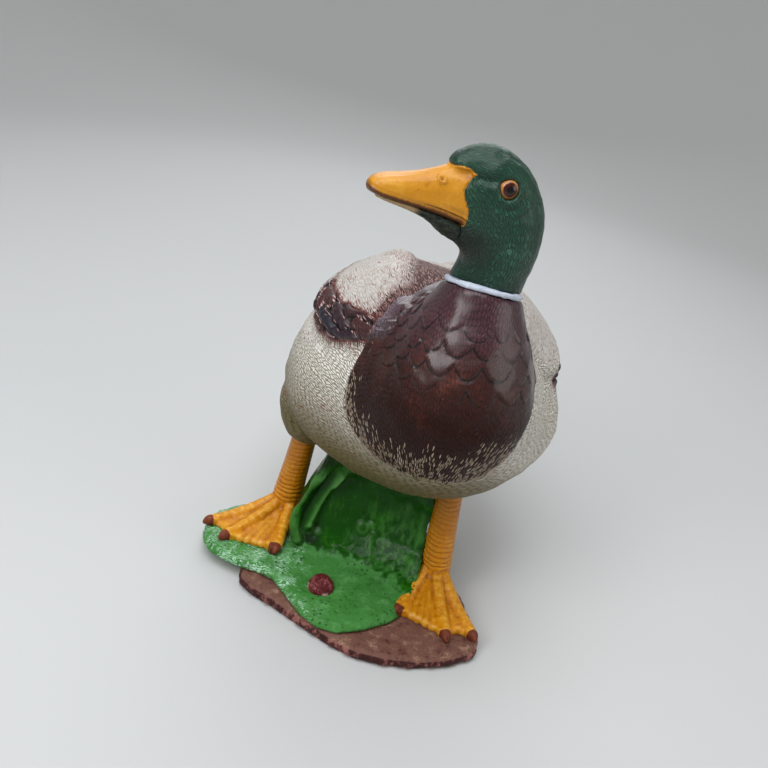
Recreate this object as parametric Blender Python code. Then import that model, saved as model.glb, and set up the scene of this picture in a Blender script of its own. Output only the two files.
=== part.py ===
"""Garden statue of a drake mallard: a cast and painted duck that stands on a base of leaves.

Metres, +Z up. The duck faces -Y with its head turned to its right, towards -X, so that its left side is +X.
The origin is on the floor, in the duck's middle plane. Tables below are in millimetres and MM turns them
into metres.
"""

import math

import bmesh
import bpy
from mathutils import Matrix, Vector

MM = 0.001
GAP = 0.3 * MM  # left between pieces that touch

# Whole figure
BODY_TURN = math.radians(-4)  # the tail swings to the left of the breast
BREAST_CUT = (-60, 224)  # y, z of a point between breast and trunk
BREAST_CUT_NORMAL = Vector((0, -0.868, 0.497))

# Collar, where neck meets breast; its front edge is the higher one
COLLAR_CENTRE = Vector((1, -61, 306)) * MM
COLLAR_RADIUS = 28.8 * MM
COLLAR_HEIGHT = 4.4 * MM
COLLAR_TILT = math.radians(14)
COLLAR_LEAN = math.radians(6.5)  # down towards the duck's left

# Head, which looks along -X in the plane y = HEAD_PLANE
HEAD_PLANE = -58
EYE_CENTRE = Vector((-6, -75.8, 381)) * MM  # of the left eye's ball
EYE_RADIUS = 6.6 * MM

# Legs: where each shank's axis meets the thigh and the ankle, and how far the middle toe turns to the right
ANKLE = 20  # above the sole
SHANK_RADIUS = 12.8
SLAB_TOP = 10
PAD_TOP = 18
LEGS = {
    "right": {"thigh": (-90, 33, 108), "ankle": (-96, 38), "sole": PAD_TOP, "turn": 52, "inner": 1},
    "left": {"thigh": (33, -29, 112), "ankle": (36, -38), "sole": SLAB_TOP, "turn": 2, "inner": -1},
}
TOE_SPREAD = (36, 0, -17)  # inner, middle and outer toe, in degrees from the middle one
TOE_LENGTH = (66, 80, 82)
CLAW = 6

PAINT = {
    "cream": ((0.62, 0.58, 0.50, 1), 0.65),
    "chestnut": ((0.055, 0.022, 0.018, 1), 0.3),
    "green": ((0.010, 0.085, 0.055, 1), 0.4),
    "white": ((0.75, 0.76, 0.80, 1), 0.5),
    "orange": ((0.62, 0.26, 0.02, 1), 0.4),
    "claw": ((0.16, 0.05, 0.035, 1), 0.4),
    "iris": ((0.45, 0.16, 0.02, 1), 0.15),
    "leaf": ((0.02, 0.17, 0.03, 1), 0.35),
    "earth": ((0.16, 0.08, 0.07, 1), 0.8),
    "berry": ((0.13, 0.015, 0.018, 1), 0.6),
}


def clear_scene():
    for obj in list(bpy.data.objects):
        bpy.data.objects.remove(obj)


def new_collection(name):
    collection = bpy.data.collections.new(name)
    bpy.context.scene.collection.children.link(collection)
    return collection


def material(paint):
    """The paint's material, made the first time it is asked for."""
    made = bpy.data.materials.get(paint)
    if made:
        return made
    colour, roughness = PAINT[paint]
    made = bpy.data.materials.new(paint)
    made.use_nodes = True
    shader = made.node_tree.nodes["Principled BSDF"]
    shader.inputs["Base Color"].default_value = colour
    shader.inputs["Roughness"].default_value = roughness
    return made


def add_object(name, mesh_data, paint, collection):
    obj = bpy.data.objects.new(name, mesh_data)
    collection.objects.link(obj)
    mesh_data.materials.clear()
    mesh_data.materials.append(material(paint))
    return obj


def object_from(bm, name, paint, collection):
    """A new object from the bmesh, which is used up."""
    bmesh.ops.recalc_face_normals(bm, faces=bm.faces)
    mesh_data = bpy.data.meshes.new(name)
    bm.to_mesh(mesh_data)
    bm.free()
    mesh_data.shade_smooth()
    return add_object(name, mesh_data, paint, collection)


# ---------------------------------------------------------------- lofts


def spline(table, steps, closed=False):
    """Rows of numbers, smoothed into steps rows between each two of the table (Catmull-Rom)."""
    padded = [table[-1], *table, table[0], table[1]] if closed else [table[0], *table, table[-1]]
    rows = []
    for before, start, end, after in zip(padded, padded[1:], padded[2:], padded[3:]):
        for step in range(steps):
            t = step / steps
            weights = (
                (-t + 2 * t**2 - t**3) / 2,
                (2 - 5 * t**2 + 3 * t**3) / 2,
                (t + 4 * t**2 - 3 * t**3) / 2,
                (-(t**2) + t**3) / 2,
            )
            rows.append([sum(w * v for w, v in zip(weights, vs)) for vs in zip(before, start, end, after)])
    if not closed:
        rows.append(list(table[-1]))
    return rows


def section(outer, inner, side, level, roundness, count):
    """Points round an oval from outer to inner, widest at level up from inner.

    A roundness of 2 makes the outer part an ellipse, more makes it fuller and less makes it leaner.
    """
    centre = inner.lerp(outer, level)
    points = []
    for i in range(count):
        angle = 2 * math.pi * i / count
        s, c = math.sin(angle), math.cos(angle)
        power = 2 / (roundness if c > 0 else 2)
        across = math.copysign(abs(s) ** power, s)
        reach = (outer if c >= 0 else inner) - centre
        points.append(centre + side * across + reach * abs(c) ** power)
    return points


def loft(rings):
    """A closed bmesh through the rings, its two ends capped flat."""
    bm = bmesh.new()
    loops = [[bm.verts.new(p) for p in ring] for ring in rings]
    for first, second in zip(loops, loops[1:]):
        count = len(first)
        for i in range(count):
            bm.faces.new((first[i], first[(i + 1) % count], second[(i + 1) % count], second[i]))
    bm.faces.new(loops[0])
    bm.faces.new(loops[-1])
    return bm


def slab(top, bottom, columns, rows):
    """A closed bmesh between two surfaces, each a function of across and along, from 0 to 1."""
    bm = bmesh.new()
    grids = []
    for surface in (top, bottom):
        grid = []
        for i in range(columns + 1):
            grid.append([bm.verts.new(surface(i / columns, j / rows)) for j in range(rows + 1)])
        grids.append(grid)
    upper, lower = grids
    for grid in grids:
        for i in range(columns):
            for j in range(rows):
                bm.faces.new((grid[i][j], grid[i + 1][j], grid[i + 1][j + 1], grid[i][j + 1]))
    rim = [(i, 0) for i in range(columns)] + [(columns, j) for j in range(rows)]
    rim += [(i, rows) for i in range(columns, 0, -1)] + [(0, j) for j in range(rows, 0, -1)]
    for (i, j), (k, m) in zip(rim, rim[1:] + rim[:1]):
        bm.faces.new((upper[i][j], upper[k][m], lower[k][m], lower[i][j]))
    return bm


# ---------------------------------------------------------------- cutting


def evaluated_mesh(obj):
    bpy.context.view_layer.update()
    return bpy.data.meshes.new_from_object(obj.evaluated_get(bpy.context.evaluated_depsgraph_get()))


def combine(obj, tool, operation, grow=0.0):
    """Applies a Boolean of obj with a copy of tool that is grown by the given amount."""
    cutter = bpy.data.objects.new(tool.name + "_cutter", evaluated_mesh(tool))
    bpy.context.scene.collection.objects.link(cutter)
    if grow:
        swell = cutter.modifiers.new("swell", "DISPLACE")
        swell.strength = grow
        swell.mid_level = 0
    change = obj.modifiers.new(operation, "BOOLEAN")
    change.operation = operation
    change.object = cutter
    change.solver = "EXACT"
    result = evaluated_mesh(obj)
    obj.modifiers.clear()
    obj.data = result
    bpy.data.objects.remove(cutter)


def carve(obj, *tools):
    """Takes each tool's room, and the gap round it, out of obj."""
    for tool in tools:
        combine(obj, tool, "DIFFERENCE", GAP * 1.15)


def join(obj, *tools):
    """Makes obj one body with the tools, which are used up."""
    for tool in tools:
        combine(obj, tool, "UNION")
        bpy.data.objects.remove(tool)


def bisect(obj, point, normal):
    """Removes what lies on the normal's side of a plane, and closes the cut."""
    bm = bmesh.new()
    bm.from_mesh(obj.data)
    cut = bmesh.ops.bisect_plane(
        bm,
        geom=bm.verts[:] + bm.edges[:] + bm.faces[:],
        plane_co=point,
        plane_no=normal,
        clear_outer=True,
        dist=1e-7,
    )
    edges = [e for e in cut["geom_cut"] if isinstance(e, bmesh.types.BMEdge)]
    bmesh.ops.edgenet_fill(bm, edges=edges)
    bmesh.ops.recalc_face_normals(bm, faces=bm.faces)
    bm.to_mesh(obj.data)
    bm.free()


def part_in_two(obj, name, point, normal, collection):
    """Cuts a thin gap across obj; what lies on the normal's side becomes a new object."""
    paint = obj.data.materials[0].name
    other = add_object(name, obj.data.copy(), paint, collection)
    bisect(obj, point - normal * GAP / 2, normal)
    bisect(other, point + normal * GAP / 2, -normal)
    return other


# ---------------------------------------------------------------- trunk and breast

# back (y, z), belly (y, z), half width, widest level up from the belly, roundness
BODY = [
    ((212, 200), (204, 178), 24, 0.5, 2.0),
    ((188, 220), (180, 150), 54, 0.5, 2.0),
    ((155, 243), (140, 122), 84, 0.47, 2.0),
    ((112, 265), (92, 104), 112, 0.38, 1.8),
    ((66, 280), (36, 101), 123, 0.35, 1.75),
    ((24, 286), (-20, 103), 116, 0.35, 1.75),
    ((-6, 287), (-64, 121), 88, 0.38, 1.85),
    ((-19, 288), (-102, 152), 70, 0.42, 2.0),
    ((-25, 291), (-122, 192), 56.5, 0.45, 2.0),
    ((-28, 296), (-122, 232), 46.5, 0.48, 2.0),
    ((-30, 302), (-109, 268), 37, 0.5, 2.0),
    ((-32, 308), (-96.5, 294), 30.5, 0.5, 2.0),
    ((-33, 315), (-89.5, 311), 28.3, 0.5, 2.0),
]
THIGH_RADIUS = 31
THIGH_PROFILE = [(0, 0.9), (0.35, 1.08), (0.62, 0.98), (0.84, 0.78), (0.97, 0.57), (1.0, 0.45)]
COLLAR_TURN = Matrix.Rotation(COLLAR_LEAN, 3, "Y") @ Matrix.Rotation(-COLLAR_TILT, 3, "X")
COLLAR_AXIS = COLLAR_TURN @ Vector((0, 0, 1))


def turned(point):
    """A point of the body's own plane, swung about the collar with the tail."""
    pivot = Vector((0, COLLAR_CENTRE.y, 0))
    return pivot + Matrix.Rotation(BODY_TURN, 3, "Z") @ (point - pivot)


def body_rings(steps, count):
    rings = []
    flat = [(*back, *belly, width, level, roundness) for back, belly, width, level, roundness in BODY]
    for back_y, back_z, belly_y, belly_z, width, level, roundness in spline(flat, steps):
        back = Vector((0, back_y, back_z)) * MM
        belly = Vector((0, belly_y, belly_z)) * MM
        points = section(back, belly, Vector((width * MM, 0, 0)), level, roundness, count)
        rings.append([turned(p) for p in points])
    return rings


def make_thigh(leg, collection):
    """A rounded cone from inside the belly down to the shank."""
    foot = Vector(leg["thigh"]) * MM
    top = foot + Vector((-0.1 * foot.x, 8 * MM, 62 * MM))
    axis = (foot - top).normalized()
    across = axis.orthogonal().normalized()
    other = axis.cross(across)
    rings = []
    for along, radius in spline(THIGH_PROFILE, 2):
        centre = top.lerp(foot, along)
        reach = THIGH_RADIUS * MM * radius
        rings.append(section(centre + across * reach, centre - across * reach, other * reach, 0.5, 2.0, 20))
    return object_from(loft(rings), "thigh", "cream", collection)


def make_body(collection):
    """Trunk and breast, parted where the breast's feathers end."""
    trunk = object_from(loft(body_rings(2, 32)), "trunk", "cream", collection)
    bisect(trunk, COLLAR_CENTRE - COLLAR_AXIS * COLLAR_HEIGHT / 2, COLLAR_AXIS)
    join(trunk, *[make_thigh(leg, collection) for leg in LEGS.values()])
    point = turned(Vector((0, *BREAST_CUT)) * MM)
    normal = Matrix.Rotation(BODY_TURN, 3, "Z") @ BREAST_CUT_NORMAL
    breast = part_in_two(trunk, "breast", point, normal, collection)
    breast.data.materials.clear()
    breast.data.materials.append(material("chestnut"))
    return trunk, breast


def make_collar(collection):
    bm = bmesh.new()
    depth = COLLAR_HEIGHT - 2 * GAP
    radius = COLLAR_RADIUS
    bmesh.ops.create_cone(bm, cap_ends=True, segments=24, radius1=radius, radius2=radius, depth=depth)
    rims = [e for e in bm.edges if abs(e.verts[0].co.z - e.verts[1].co.z) < 1e-6]
    bmesh.ops.bevel(bm, geom=rims, offset=1.2 * MM, segments=2, profile=0.5, affect="EDGES", material=-1)
    place = Matrix.Translation(COLLAR_CENTRE) @ COLLAR_TURN.to_4x4()
    bmesh.ops.transform(bm, matrix=place, verts=bm.verts)
    return object_from(bm, "collar", "white", collection)


# ---------------------------------------------------------------- wings and tail

# along the wing from shoulder to tip: y, upper edge and lower edge as degrees round from the back, thickness
WING = [
    (-40, 50, 58, 2.0),
    (-26, 38, 64, 6.0),
    (10, 24, 62, 9.0),
    (60, 17, 59, 10.0),
    (120, 12, 58, 7.0),
    (175, 8, 54, 5.0),
    (212, 10, 46, 4.0),
]
WING_STEPS = 16
WINGS = (("wing_left", 1), ("wing_right", -1))


def body_surface(y, degrees):
    """The body's surface at y, on the line that lies round from the back by the given degrees."""
    count = len(SURFACE_RINGS[0])
    turn = degrees % 360 / 360 * count
    low = int(turn) % count
    column = [ring[low].lerp(ring[(low + 1) % count], turn - int(turn)) for ring in SURFACE_RINGS]
    for first, second in zip(column, column[1:]):
        if first.y >= y * MM >= second.y:
            return first.lerp(second, (first.y - y * MM) / max(first.y - second.y, 1e-9))
    return column[0] + (column[0] - column[2]).normalized() * (y * MM - column[0].y)


def body_normal(y, degrees):
    along = body_surface(y + 3, degrees) - body_surface(y - 3, degrees)
    around = body_surface(y, degrees + 4) - body_surface(y, degrees - 4)
    normal = along.cross(around).normalized()
    centre = turned(Vector((0, y, 190)) * MM)
    return normal if normal.dot(body_surface(y, degrees) - centre) > 0 else -normal


def make_wing(name, side, neighbours, collection):
    """A folded wing that lies on the body; side is 1 on the left and -1 on the right."""
    rows = spline(WING, 4)

    def place(across, along, lift):
        position = along * (len(rows) - 1)
        low = min(int(position), len(rows) - 2)
        row = [a + (b - a) * (position - low) for a, b in zip(rows[low], rows[low + 1])]
        y, upper, lower, thickness = row
        degrees = side * (upper + (lower - upper) * across)
        edge = min(1.0, 6 * min(across, 1 - across) + 0.3)
        rise = 1.2 + thickness * edge if lift else -4
        return body_surface(y, degrees) + body_normal(y, degrees) * rise * MM

    bm = slab(lambda u, v: place(u, v, True), lambda u, v: place(u, v, False), 8, WING_STEPS)
    wing = object_from(bm, name, "cream", collection)
    carve(wing, *neighbours)
    return wing


TAIL_ROOT = (188, 189)  # y, z
TAIL_LENGTH = 66
TAIL_HALF_WIDTH = (40, 30)  # at the root and at the tip
TAIL_RISE = 12
TAIL_THICKNESS = 10


def make_tail(neighbours, collection):
    """A rounded fan that comes out of the rump and rises a little."""

    def place(across, along, lift):
        spread = (across - 0.5) * 2
        half_width = TAIL_HALF_WIDTH[0] + (TAIL_HALF_WIDTH[1] - TAIL_HALF_WIDTH[0]) * along
        reach = TAIL_LENGTH * (1 - 0.22 * spread**2) * along
        arch = -9 * spread**2
        thickness = TAIL_THICKNESS * (1 - 0.7 * along) * (1 - 0.6 * abs(spread) ** 3)
        height = TAIL_ROOT[1] + TAIL_RISE * along**2 + arch + (lift - 0.5) * thickness
        return turned(Vector((spread * half_width, TAIL_ROOT[0] + reach, height)) * MM)

    bm = slab(lambda u, v: place(u, v, 1), lambda u, v: place(u, v, 0), 10, 6)
    tail = object_from(bm, "tail", "cream", collection)
    carve(tail, *neighbours)
    return tail


def make_curl(neighbours, collection):
    """The drake's curled feather: a ribbon that rises from the rump and rolls forwards."""

    def place(across, along, lift):
        angle = math.radians(-20 + 225 * along)
        radius = 11 - 3 * along
        spread = (across - 0.5) * (13 - 5 * along)
        centre = Vector((0, 212, 218)) * MM
        reach = radius + (lift - 0.5) * 2.4
        return turned(centre + Vector((spread, reach * math.sin(angle), -reach * math.cos(angle))) * MM)

    bm = slab(lambda u, v: place(u, v, 1), lambda u, v: place(u, v, 0), 3, 10)
    carve(object_from(bm, "tail_curl", "chestnut", collection), *neighbours)


# ---------------------------------------------------------------- neck, head, bill

# nape or crown (x, z), throat or chin (x, z), half width, widest level up from the throat, roundness
HEAD = [
    ((28.5, 294), (-25.5, 304), 26, 0.5, 2.0),
    ((28.8, 306), (-24, 312), 26, 0.5, 2.0),
    ((30.5, 320), (-21.5, 320), 26, 0.5, 2.0),
    ((32.8, 337), (-21, 327), 26.3, 0.52, 2.0),
    ((31.8, 357), (-24, 332), 25.5, 0.54, 2.05),
    ((24.5, 376), (-29, 335.5), 25, 0.55, 2.1),
    ((10, 394), (-34, 338.5), 24.5, 0.55, 2.15),
    ((-8, 403), (-39, 341), 21.5, 0.53, 2.15),
    ((-26, 403), (-45, 344.5), 16.5, 0.52, 2.2),
    ((-39, 396.5), (-51, 348), 12.5, 0.5, 2.2),
    ((-44, 387), (-57, 353.5), 8, 0.47, 2.0),
    ((-50, 378), (-60, 359), 4, 0.5, 2.0),
]
NECK_CUT = (3, 337)  # x, z of a point between neck and head
NECK_CUT_NORMAL = Vector((-0.55, 0, 0.835))


def head_rings(steps, count):
    tilt = math.tan(COLLAR_TILT)
    rings = []
    flat = [(*outer, *inner, width, level, roundness) for outer, inner, width, level, roundness in HEAD]
    for ox, oz, ix, iz, width, level, roundness in spline(flat, steps):
        outer = Vector((ox, HEAD_PLANE, oz)) * MM
        inner = Vector((ix, HEAD_PLANE, iz)) * MM
        lean = tilt * max(0.0, min(1.0, (330 - oz) / 30))
        side = Vector((0, -width, width * lean)) * MM
        rings.append(section(outer, inner, side, level, roundness, count))
    return rings


def make_neck_and_head(collection):
    neck = object_from(loft(head_rings(2, 24)), "neck", "green", collection)
    bisect(neck, COLLAR_CENTRE + COLLAR_AXIS * COLLAR_HEIGHT / 2, -COLLAR_AXIS)
    point = Vector((NECK_CUT[0], HEAD_PLANE, NECK_CUT[1])) * MM
    return part_in_two(neck, "head", point, NECK_CUT_NORMAL, collection)


# x, top, bottom, half width, widest level up from the bottom, roundness
BILL_UPPER = [
    (-30.5, 389.5, 348.5, 18.4, 0.4, 2.6),
    (-34, 389.2, 349.8, 17.4, 0.34, 2.5),
    (-42, 387.6, 352.3, 15.2, 0.28, 2.4),
    (-54, 382.8, 355, 13.4, 0.25, 2.4),
    (-66, 378.6, 357, 13, 0.25, 2.5),
    (-78, 375.4, 358.8, 12.8, 0.27, 2.6),
    (-88, 373, 360.2, 11.6, 0.3, 2.4),
    (-94, 370.2, 361.6, 8.2, 0.35, 2.2),
    (-96.5, 367.4, 363, 3.2, 0.5, 2.0),
]
BILL_TOP = 388.5  # level below which the bill takes the face's whole width
BILL_LOWER = [
    (-30.5, 352, 336.5, 16, 0.7, 2.0),
    (-38, 354.5, 339.5, 13.5, 0.7, 2.0),
    (-46, 356, 344.5, 11.8, 0.7, 2.0),
    (-54, 357, 349.5, 10.8, 0.7, 2.0),
    (-70, 358.8, 354.3, 10.2, 0.8, 2.0),
    (-82, 360.5, 357, 9.4, 0.8, 2.0),
    (-89.5, 361.4, 358.8, 5.5, 0.8, 2.0),
]


def bill_rings(table, count):
    rings = []
    for x, top, bottom, width, level, roundness in spline(table, 2):
        upper = Vector((x, HEAD_PLANE, top)) * MM
        lower = Vector((x, HEAD_PLANE, bottom)) * MM
        rings.append(section(upper, lower, Vector((0, -width * MM, 0)), level, roundness, count))
    return rings


def make_bill(head, collection):
    """Upper bill and lower bill with chin; the face ends flat behind them and the forehead lies on top."""
    upper = object_from(loft(bill_rings(BILL_UPPER, 16)), "bill_upper", "orange", collection)
    lower = object_from(loft(bill_rings(BILL_LOWER, 12)), "bill_lower", "orange", collection)
    carve(lower, upper)
    room = bmesh.new()
    bmesh.ops.create_cube(room, size=1)
    back = BILL_UPPER[0][0] + GAP / MM
    size = Vector((60, 60, 80))
    middle = Vector((back - size.x / 2, HEAD_PLANE, BILL_TOP - size.z / 2))
    bmesh.ops.scale(room, vec=size * MM, verts=room.verts)
    bmesh.ops.translate(room, vec=middle * MM, verts=room.verts)
    cutter = object_from(room, "bill_room", "orange", collection)
    combine(head, cutter, "DIFFERENCE")
    bpy.data.objects.remove(cutter)
    carve(head, upper)


def make_eyes(head, collection):
    for side, name in ((1, "eye_left"), (-1, "eye_right")):
        bm = bmesh.new()
        bmesh.ops.create_uvsphere(bm, u_segments=12, v_segments=8, radius=EYE_RADIUS)
        middle = HEAD_PLANE * MM
        place = Vector((EYE_CENTRE.x, middle + side * (EYE_CENTRE.y - middle), EYE_CENTRE.z))
        turn = Matrix.Translation(place) @ Matrix.Rotation(math.pi / 2, 4, "X")
        bmesh.ops.transform(bm, matrix=turn, verts=bm.verts)
        eye = object_from(bm, name, "iris", collection)
        carve(head, eye)


# ---------------------------------------------------------------- legs and feet


def ankle_point(leg, height):
    return Vector((*leg["ankle"], leg["sole"] + height)) * MM


def upright_tube(levels, name, paint, collection):
    """A round tube through (centre, radius) pairs, each ring lying level."""
    rings = []
    for centre, radius in levels:
        reach = radius * MM
        depth = Vector((0, reach, 0))
        rings.append(section(centre + depth, centre - depth, Vector((reach, 0, 0)), 0.5, 2.0, 16))
    return object_from(loft(rings), name, paint, collection)


def make_shank(name, leg, trunk, collection):
    top = Vector(leg["thigh"]) * MM + Vector((0, 0, 6 * MM))
    foot = ankle_point(leg, ANKLE + GAP / MM)
    profile = spline([(0, 0.84), (0.2, 0.86), (0.5, 0.92), (0.8, 1.0), (1.0, 1.06)], 2)
    levels = [(top.lerp(foot, along), SHANK_RADIUS * radius) for along, radius in profile]
    shank = upright_tube(levels, name, "orange", collection)
    carve(shank, trunk)
    return shank


def toe_outline(across):
    """Length and angle of the foot's edge, from the inner toe at 0 to the outer one at 1."""
    half = 0 if across < 0.5 else 1
    t = across * 2 - half
    length = TOE_LENGTH[half] + (TOE_LENGTH[half + 1] - TOE_LENGTH[half]) * t
    angle = TOE_SPREAD[half] + (TOE_SPREAD[half + 1] - TOE_SPREAD[half]) * t
    claw = CLAW * math.exp(-((toe_distance(across) / 0.04) ** 2))
    return length * (1 - 0.11 * math.sin(math.pi * t)) + claw, angle


def toe_distance(across):
    return min(abs(across - toe) for toe in (0.04, 0.5, 0.96))


def toe_height(across, along):
    """Height of the foot's top: three ridges with webs slung between them."""
    ridge = math.exp(-((toe_distance(across) / 0.12) ** 2))
    return 3.5 + (8.0 - 3.2 * along) * ridge + 7.8 * (1 - along) ** 2.5


def make_foot(name, leg, collection):
    turn = math.radians(leg["turn"])
    heel = ankle_point(leg, 0) + Vector((math.sin(turn), math.cos(turn), 0)) * 9 * MM

    def place(across, along, height):
        length, angle = toe_outline(across)
        heading = turn - leg["inner"] * math.radians(angle)
        reach = 6 + (length - 6) * along
        return heel + Vector((-math.sin(heading) * reach, -math.cos(heading) * reach, height)) * MM

    bm = slab(lambda u, v: place(u, v, toe_height(u, v)), lambda u, v: place(u, v, GAP / MM), 24, 4)
    foot = object_from(bm, name, "orange", collection)
    levels = [(ankle_point(leg, z), r) for z, r in ((0.8, 16.5), (7, 16.5), (14, 15), (ANKLE, 13.6))]
    join(foot, upright_tube(levels, "ankle", "orange", collection))
    return foot


# ---------------------------------------------------------------- base of leaves

# outlines seen from above, x and y, anticlockwise
SLAB_OUTLINE = [
    (-138, -44), (-112, -70), (-80, -100), (-46, -126), (6, -136), (52, -126), (66, -104), (60, -44),
    (52, 20), (32, 80), (-20, 104), (-72, 96), (-102, 62), (-126, 0),
]
PAD_OUTLINE = [
    (-171, 8), (-164, -16), (-138, -34), (-110, -48), (-88, -90), (-60, -109), (-14, -96), (8, -74),
    (12, -40), (10, 10), (14, 60), (-10, 88), (-56, 92), (-96, 74), (-130, 52), (-160, 36),
]


def layer(outline, levels, name, paint, collection):
    """A flat stone or leaf: its outline at each level, scaled about its middle."""
    points = spline(outline, 2, closed=True)
    middle = Vector((sum(p[0] for p in points), sum(p[1] for p in points))) / len(points)
    rings = []
    for z, scale in levels:
        flat = [middle + (Vector(p) - middle) * scale for p in points]
        rings.append([Vector((p.x, p.y, z)) * MM for p in flat])
    return object_from(loft(rings), name, paint, collection)


def make_base(collection):
    levels = ((0, 0.97), (4, 1.0), (8, 0.985), (SLAB_TOP, 0.95))
    layer(SLAB_OUTLINE, levels, "base_slab", "earth", collection)
    levels = ((SLAB_TOP + GAP / MM, 0.98), (SLAB_TOP + 3, 1.0), (PAD_TOP, 0.95))
    pad = layer(PAD_OUTLINE, levels, "leaf_pad", "leaf", collection)
    return pad


# height, left edge x, right edge x, front y at the left, middle and right, back y
CLUMP = [
    (PAD_TOP + 0.3, -84, 6, -20, -34, -78, 60),
    (26, -90, 16, -14, -20, -58, 58),
    (40, -94, 21, -12, -8, -42, 56),
    (56, -93, 22, -12, 0, -34, 54),
    (74, -86, 23, -10, 4, -30, 52),
    (92, -78, 23, -6, 4, -28, 50),
    (112, -72, 22, -2, 2, -26, 48),
    (132, -66, 20, 0, 2, -24, 46),
]


CLUMP_FRONT_POINTS = 14


def clump_ring(row):
    """One level of the clump: a front that is hollow between its two rims, and a round back."""
    z, left, right, front_left, front_middle, front_right, back = row
    hollow = front_middle - (front_left + front_right) / 2
    width = right - left
    points = []
    for i in range(CLUMP_FRONT_POINTS + 1):
        t = i / CLUMP_FRONT_POINTS
        chord = front_left + (front_right - front_left) * t
        points.append((left + width * t, chord + hollow * math.sin(math.pi * t) ** 0.8))
    for i in range(1, CLUMP_FRONT_POINTS):
        angle = math.pi * i / CLUMP_FRONT_POINTS
        edge = front_right + (front_left - front_right) * i / CLUMP_FRONT_POINTS
        points.append((left + width * (1 + math.cos(angle)) / 2, edge + (back - edge) * math.sin(angle)))
    return [Vector((x, y, z)) * MM for x, y in points]


def make_clump(parts, collection):
    clump = object_from(loft([clump_ring(row) for row in CLUMP]), "leaf_clump", "leaf", collection)
    carve(clump, *parts)
    return clump


BERRY_CENTRE = Vector((-69, -60, PAD_TOP)) * MM
BERRY_RADIUS = 11.5


def make_berry(pad, collection):
    """A knob of red stone that is half sunk in the pad."""
    bm = bmesh.new()
    bmesh.ops.create_uvsphere(bm, u_segments=14, v_segments=8, radius=BERRY_RADIUS * MM)
    bmesh.ops.transform(bm, matrix=Matrix.Translation(BERRY_CENTRE - Vector((0, 0, 2 * MM))), verts=bm.verts)
    berry = object_from(bm, "berry", "berry", collection)
    bisect(berry, Vector((0, 0, (PAD_TOP - 3) * MM)), Vector((0, 0, -1)))
    carve(pad, berry)


# ---------------------------------------------------------------- build


def main():
    clear_scene()
    duck = new_collection("mallard_statue")
    trunk, breast = make_body(duck)
    make_collar(duck)
    head = make_neck_and_head(duck)
    make_bill(head, duck)
    make_eyes(head, duck)
    wings = [make_wing(name, side, [trunk, breast], duck) for name, side in WINGS]
    tail = make_tail([trunk, *wings], duck)
    make_curl([trunk, *wings, tail], duck)
    limbs = []
    for side, leg in LEGS.items():
        limbs.append(make_shank("leg_" + side, leg, trunk, duck))
        limbs.append(make_foot("foot_" + side, leg, duck))
    pad = make_base(duck)
    carve(pad, *limbs)
    make_clump([trunk, breast, pad, *limbs], duck)
    make_berry(pad, duck)


SURFACE_RINGS = body_rings(6, 72)

main()
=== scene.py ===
"""A cast and painted garden statue of a mallard drake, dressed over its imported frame."""

import logging
import math
from dataclasses import dataclass
from enum import Enum
from typing import Iterable, NamedTuple, Optional, Sequence

import bmesh
import bpy
import numpy as np
from mathutils import Matrix, Vector


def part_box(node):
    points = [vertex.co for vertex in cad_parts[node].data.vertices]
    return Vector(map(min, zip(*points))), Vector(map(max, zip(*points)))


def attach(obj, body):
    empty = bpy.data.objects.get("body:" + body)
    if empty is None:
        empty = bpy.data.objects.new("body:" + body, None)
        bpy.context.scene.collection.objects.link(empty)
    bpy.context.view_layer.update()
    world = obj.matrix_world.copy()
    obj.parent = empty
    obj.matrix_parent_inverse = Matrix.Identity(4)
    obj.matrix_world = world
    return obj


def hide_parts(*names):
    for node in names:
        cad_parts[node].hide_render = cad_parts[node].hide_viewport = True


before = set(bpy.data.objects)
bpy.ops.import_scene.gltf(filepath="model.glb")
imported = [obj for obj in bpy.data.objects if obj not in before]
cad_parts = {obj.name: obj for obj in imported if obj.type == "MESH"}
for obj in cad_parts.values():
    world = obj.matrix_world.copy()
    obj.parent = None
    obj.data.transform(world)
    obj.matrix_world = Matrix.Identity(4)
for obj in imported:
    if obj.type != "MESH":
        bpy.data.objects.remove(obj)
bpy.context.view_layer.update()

MM = 0.001
BODY = "root"
# The breast's carved feathers in mm, and how far a tip bows past its row.
SCALLOP_WIDTH = 21.0
SCALLOP_DROP = 15.0
SCALLOP_BOW = 0.62
# Points nearer than this, in metres, are one.
SAME_POINT = 1e-5
log = logging.getLogger("garden_duck")


class Slot(Enum):
    """The record's paints."""

    CREAM = "cream_paint"
    CHESTNUT = "chestnut_paint"
    WHITE = "white_paint"
    GREEN = "green_paint"
    ORANGE = "orange_paint"
    EYE = "eye_paint"
    LEAF = "leaf_paint"
    EARTH = "earth_paint"
    BERRY = "berry_paint"


class Side(Enum):
    """The duck's own sides; the value is the sign of X."""

    LEFT = 1
    RIGHT = -1


# ---------------------------------------------------------------------------
# Node wiring


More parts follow.
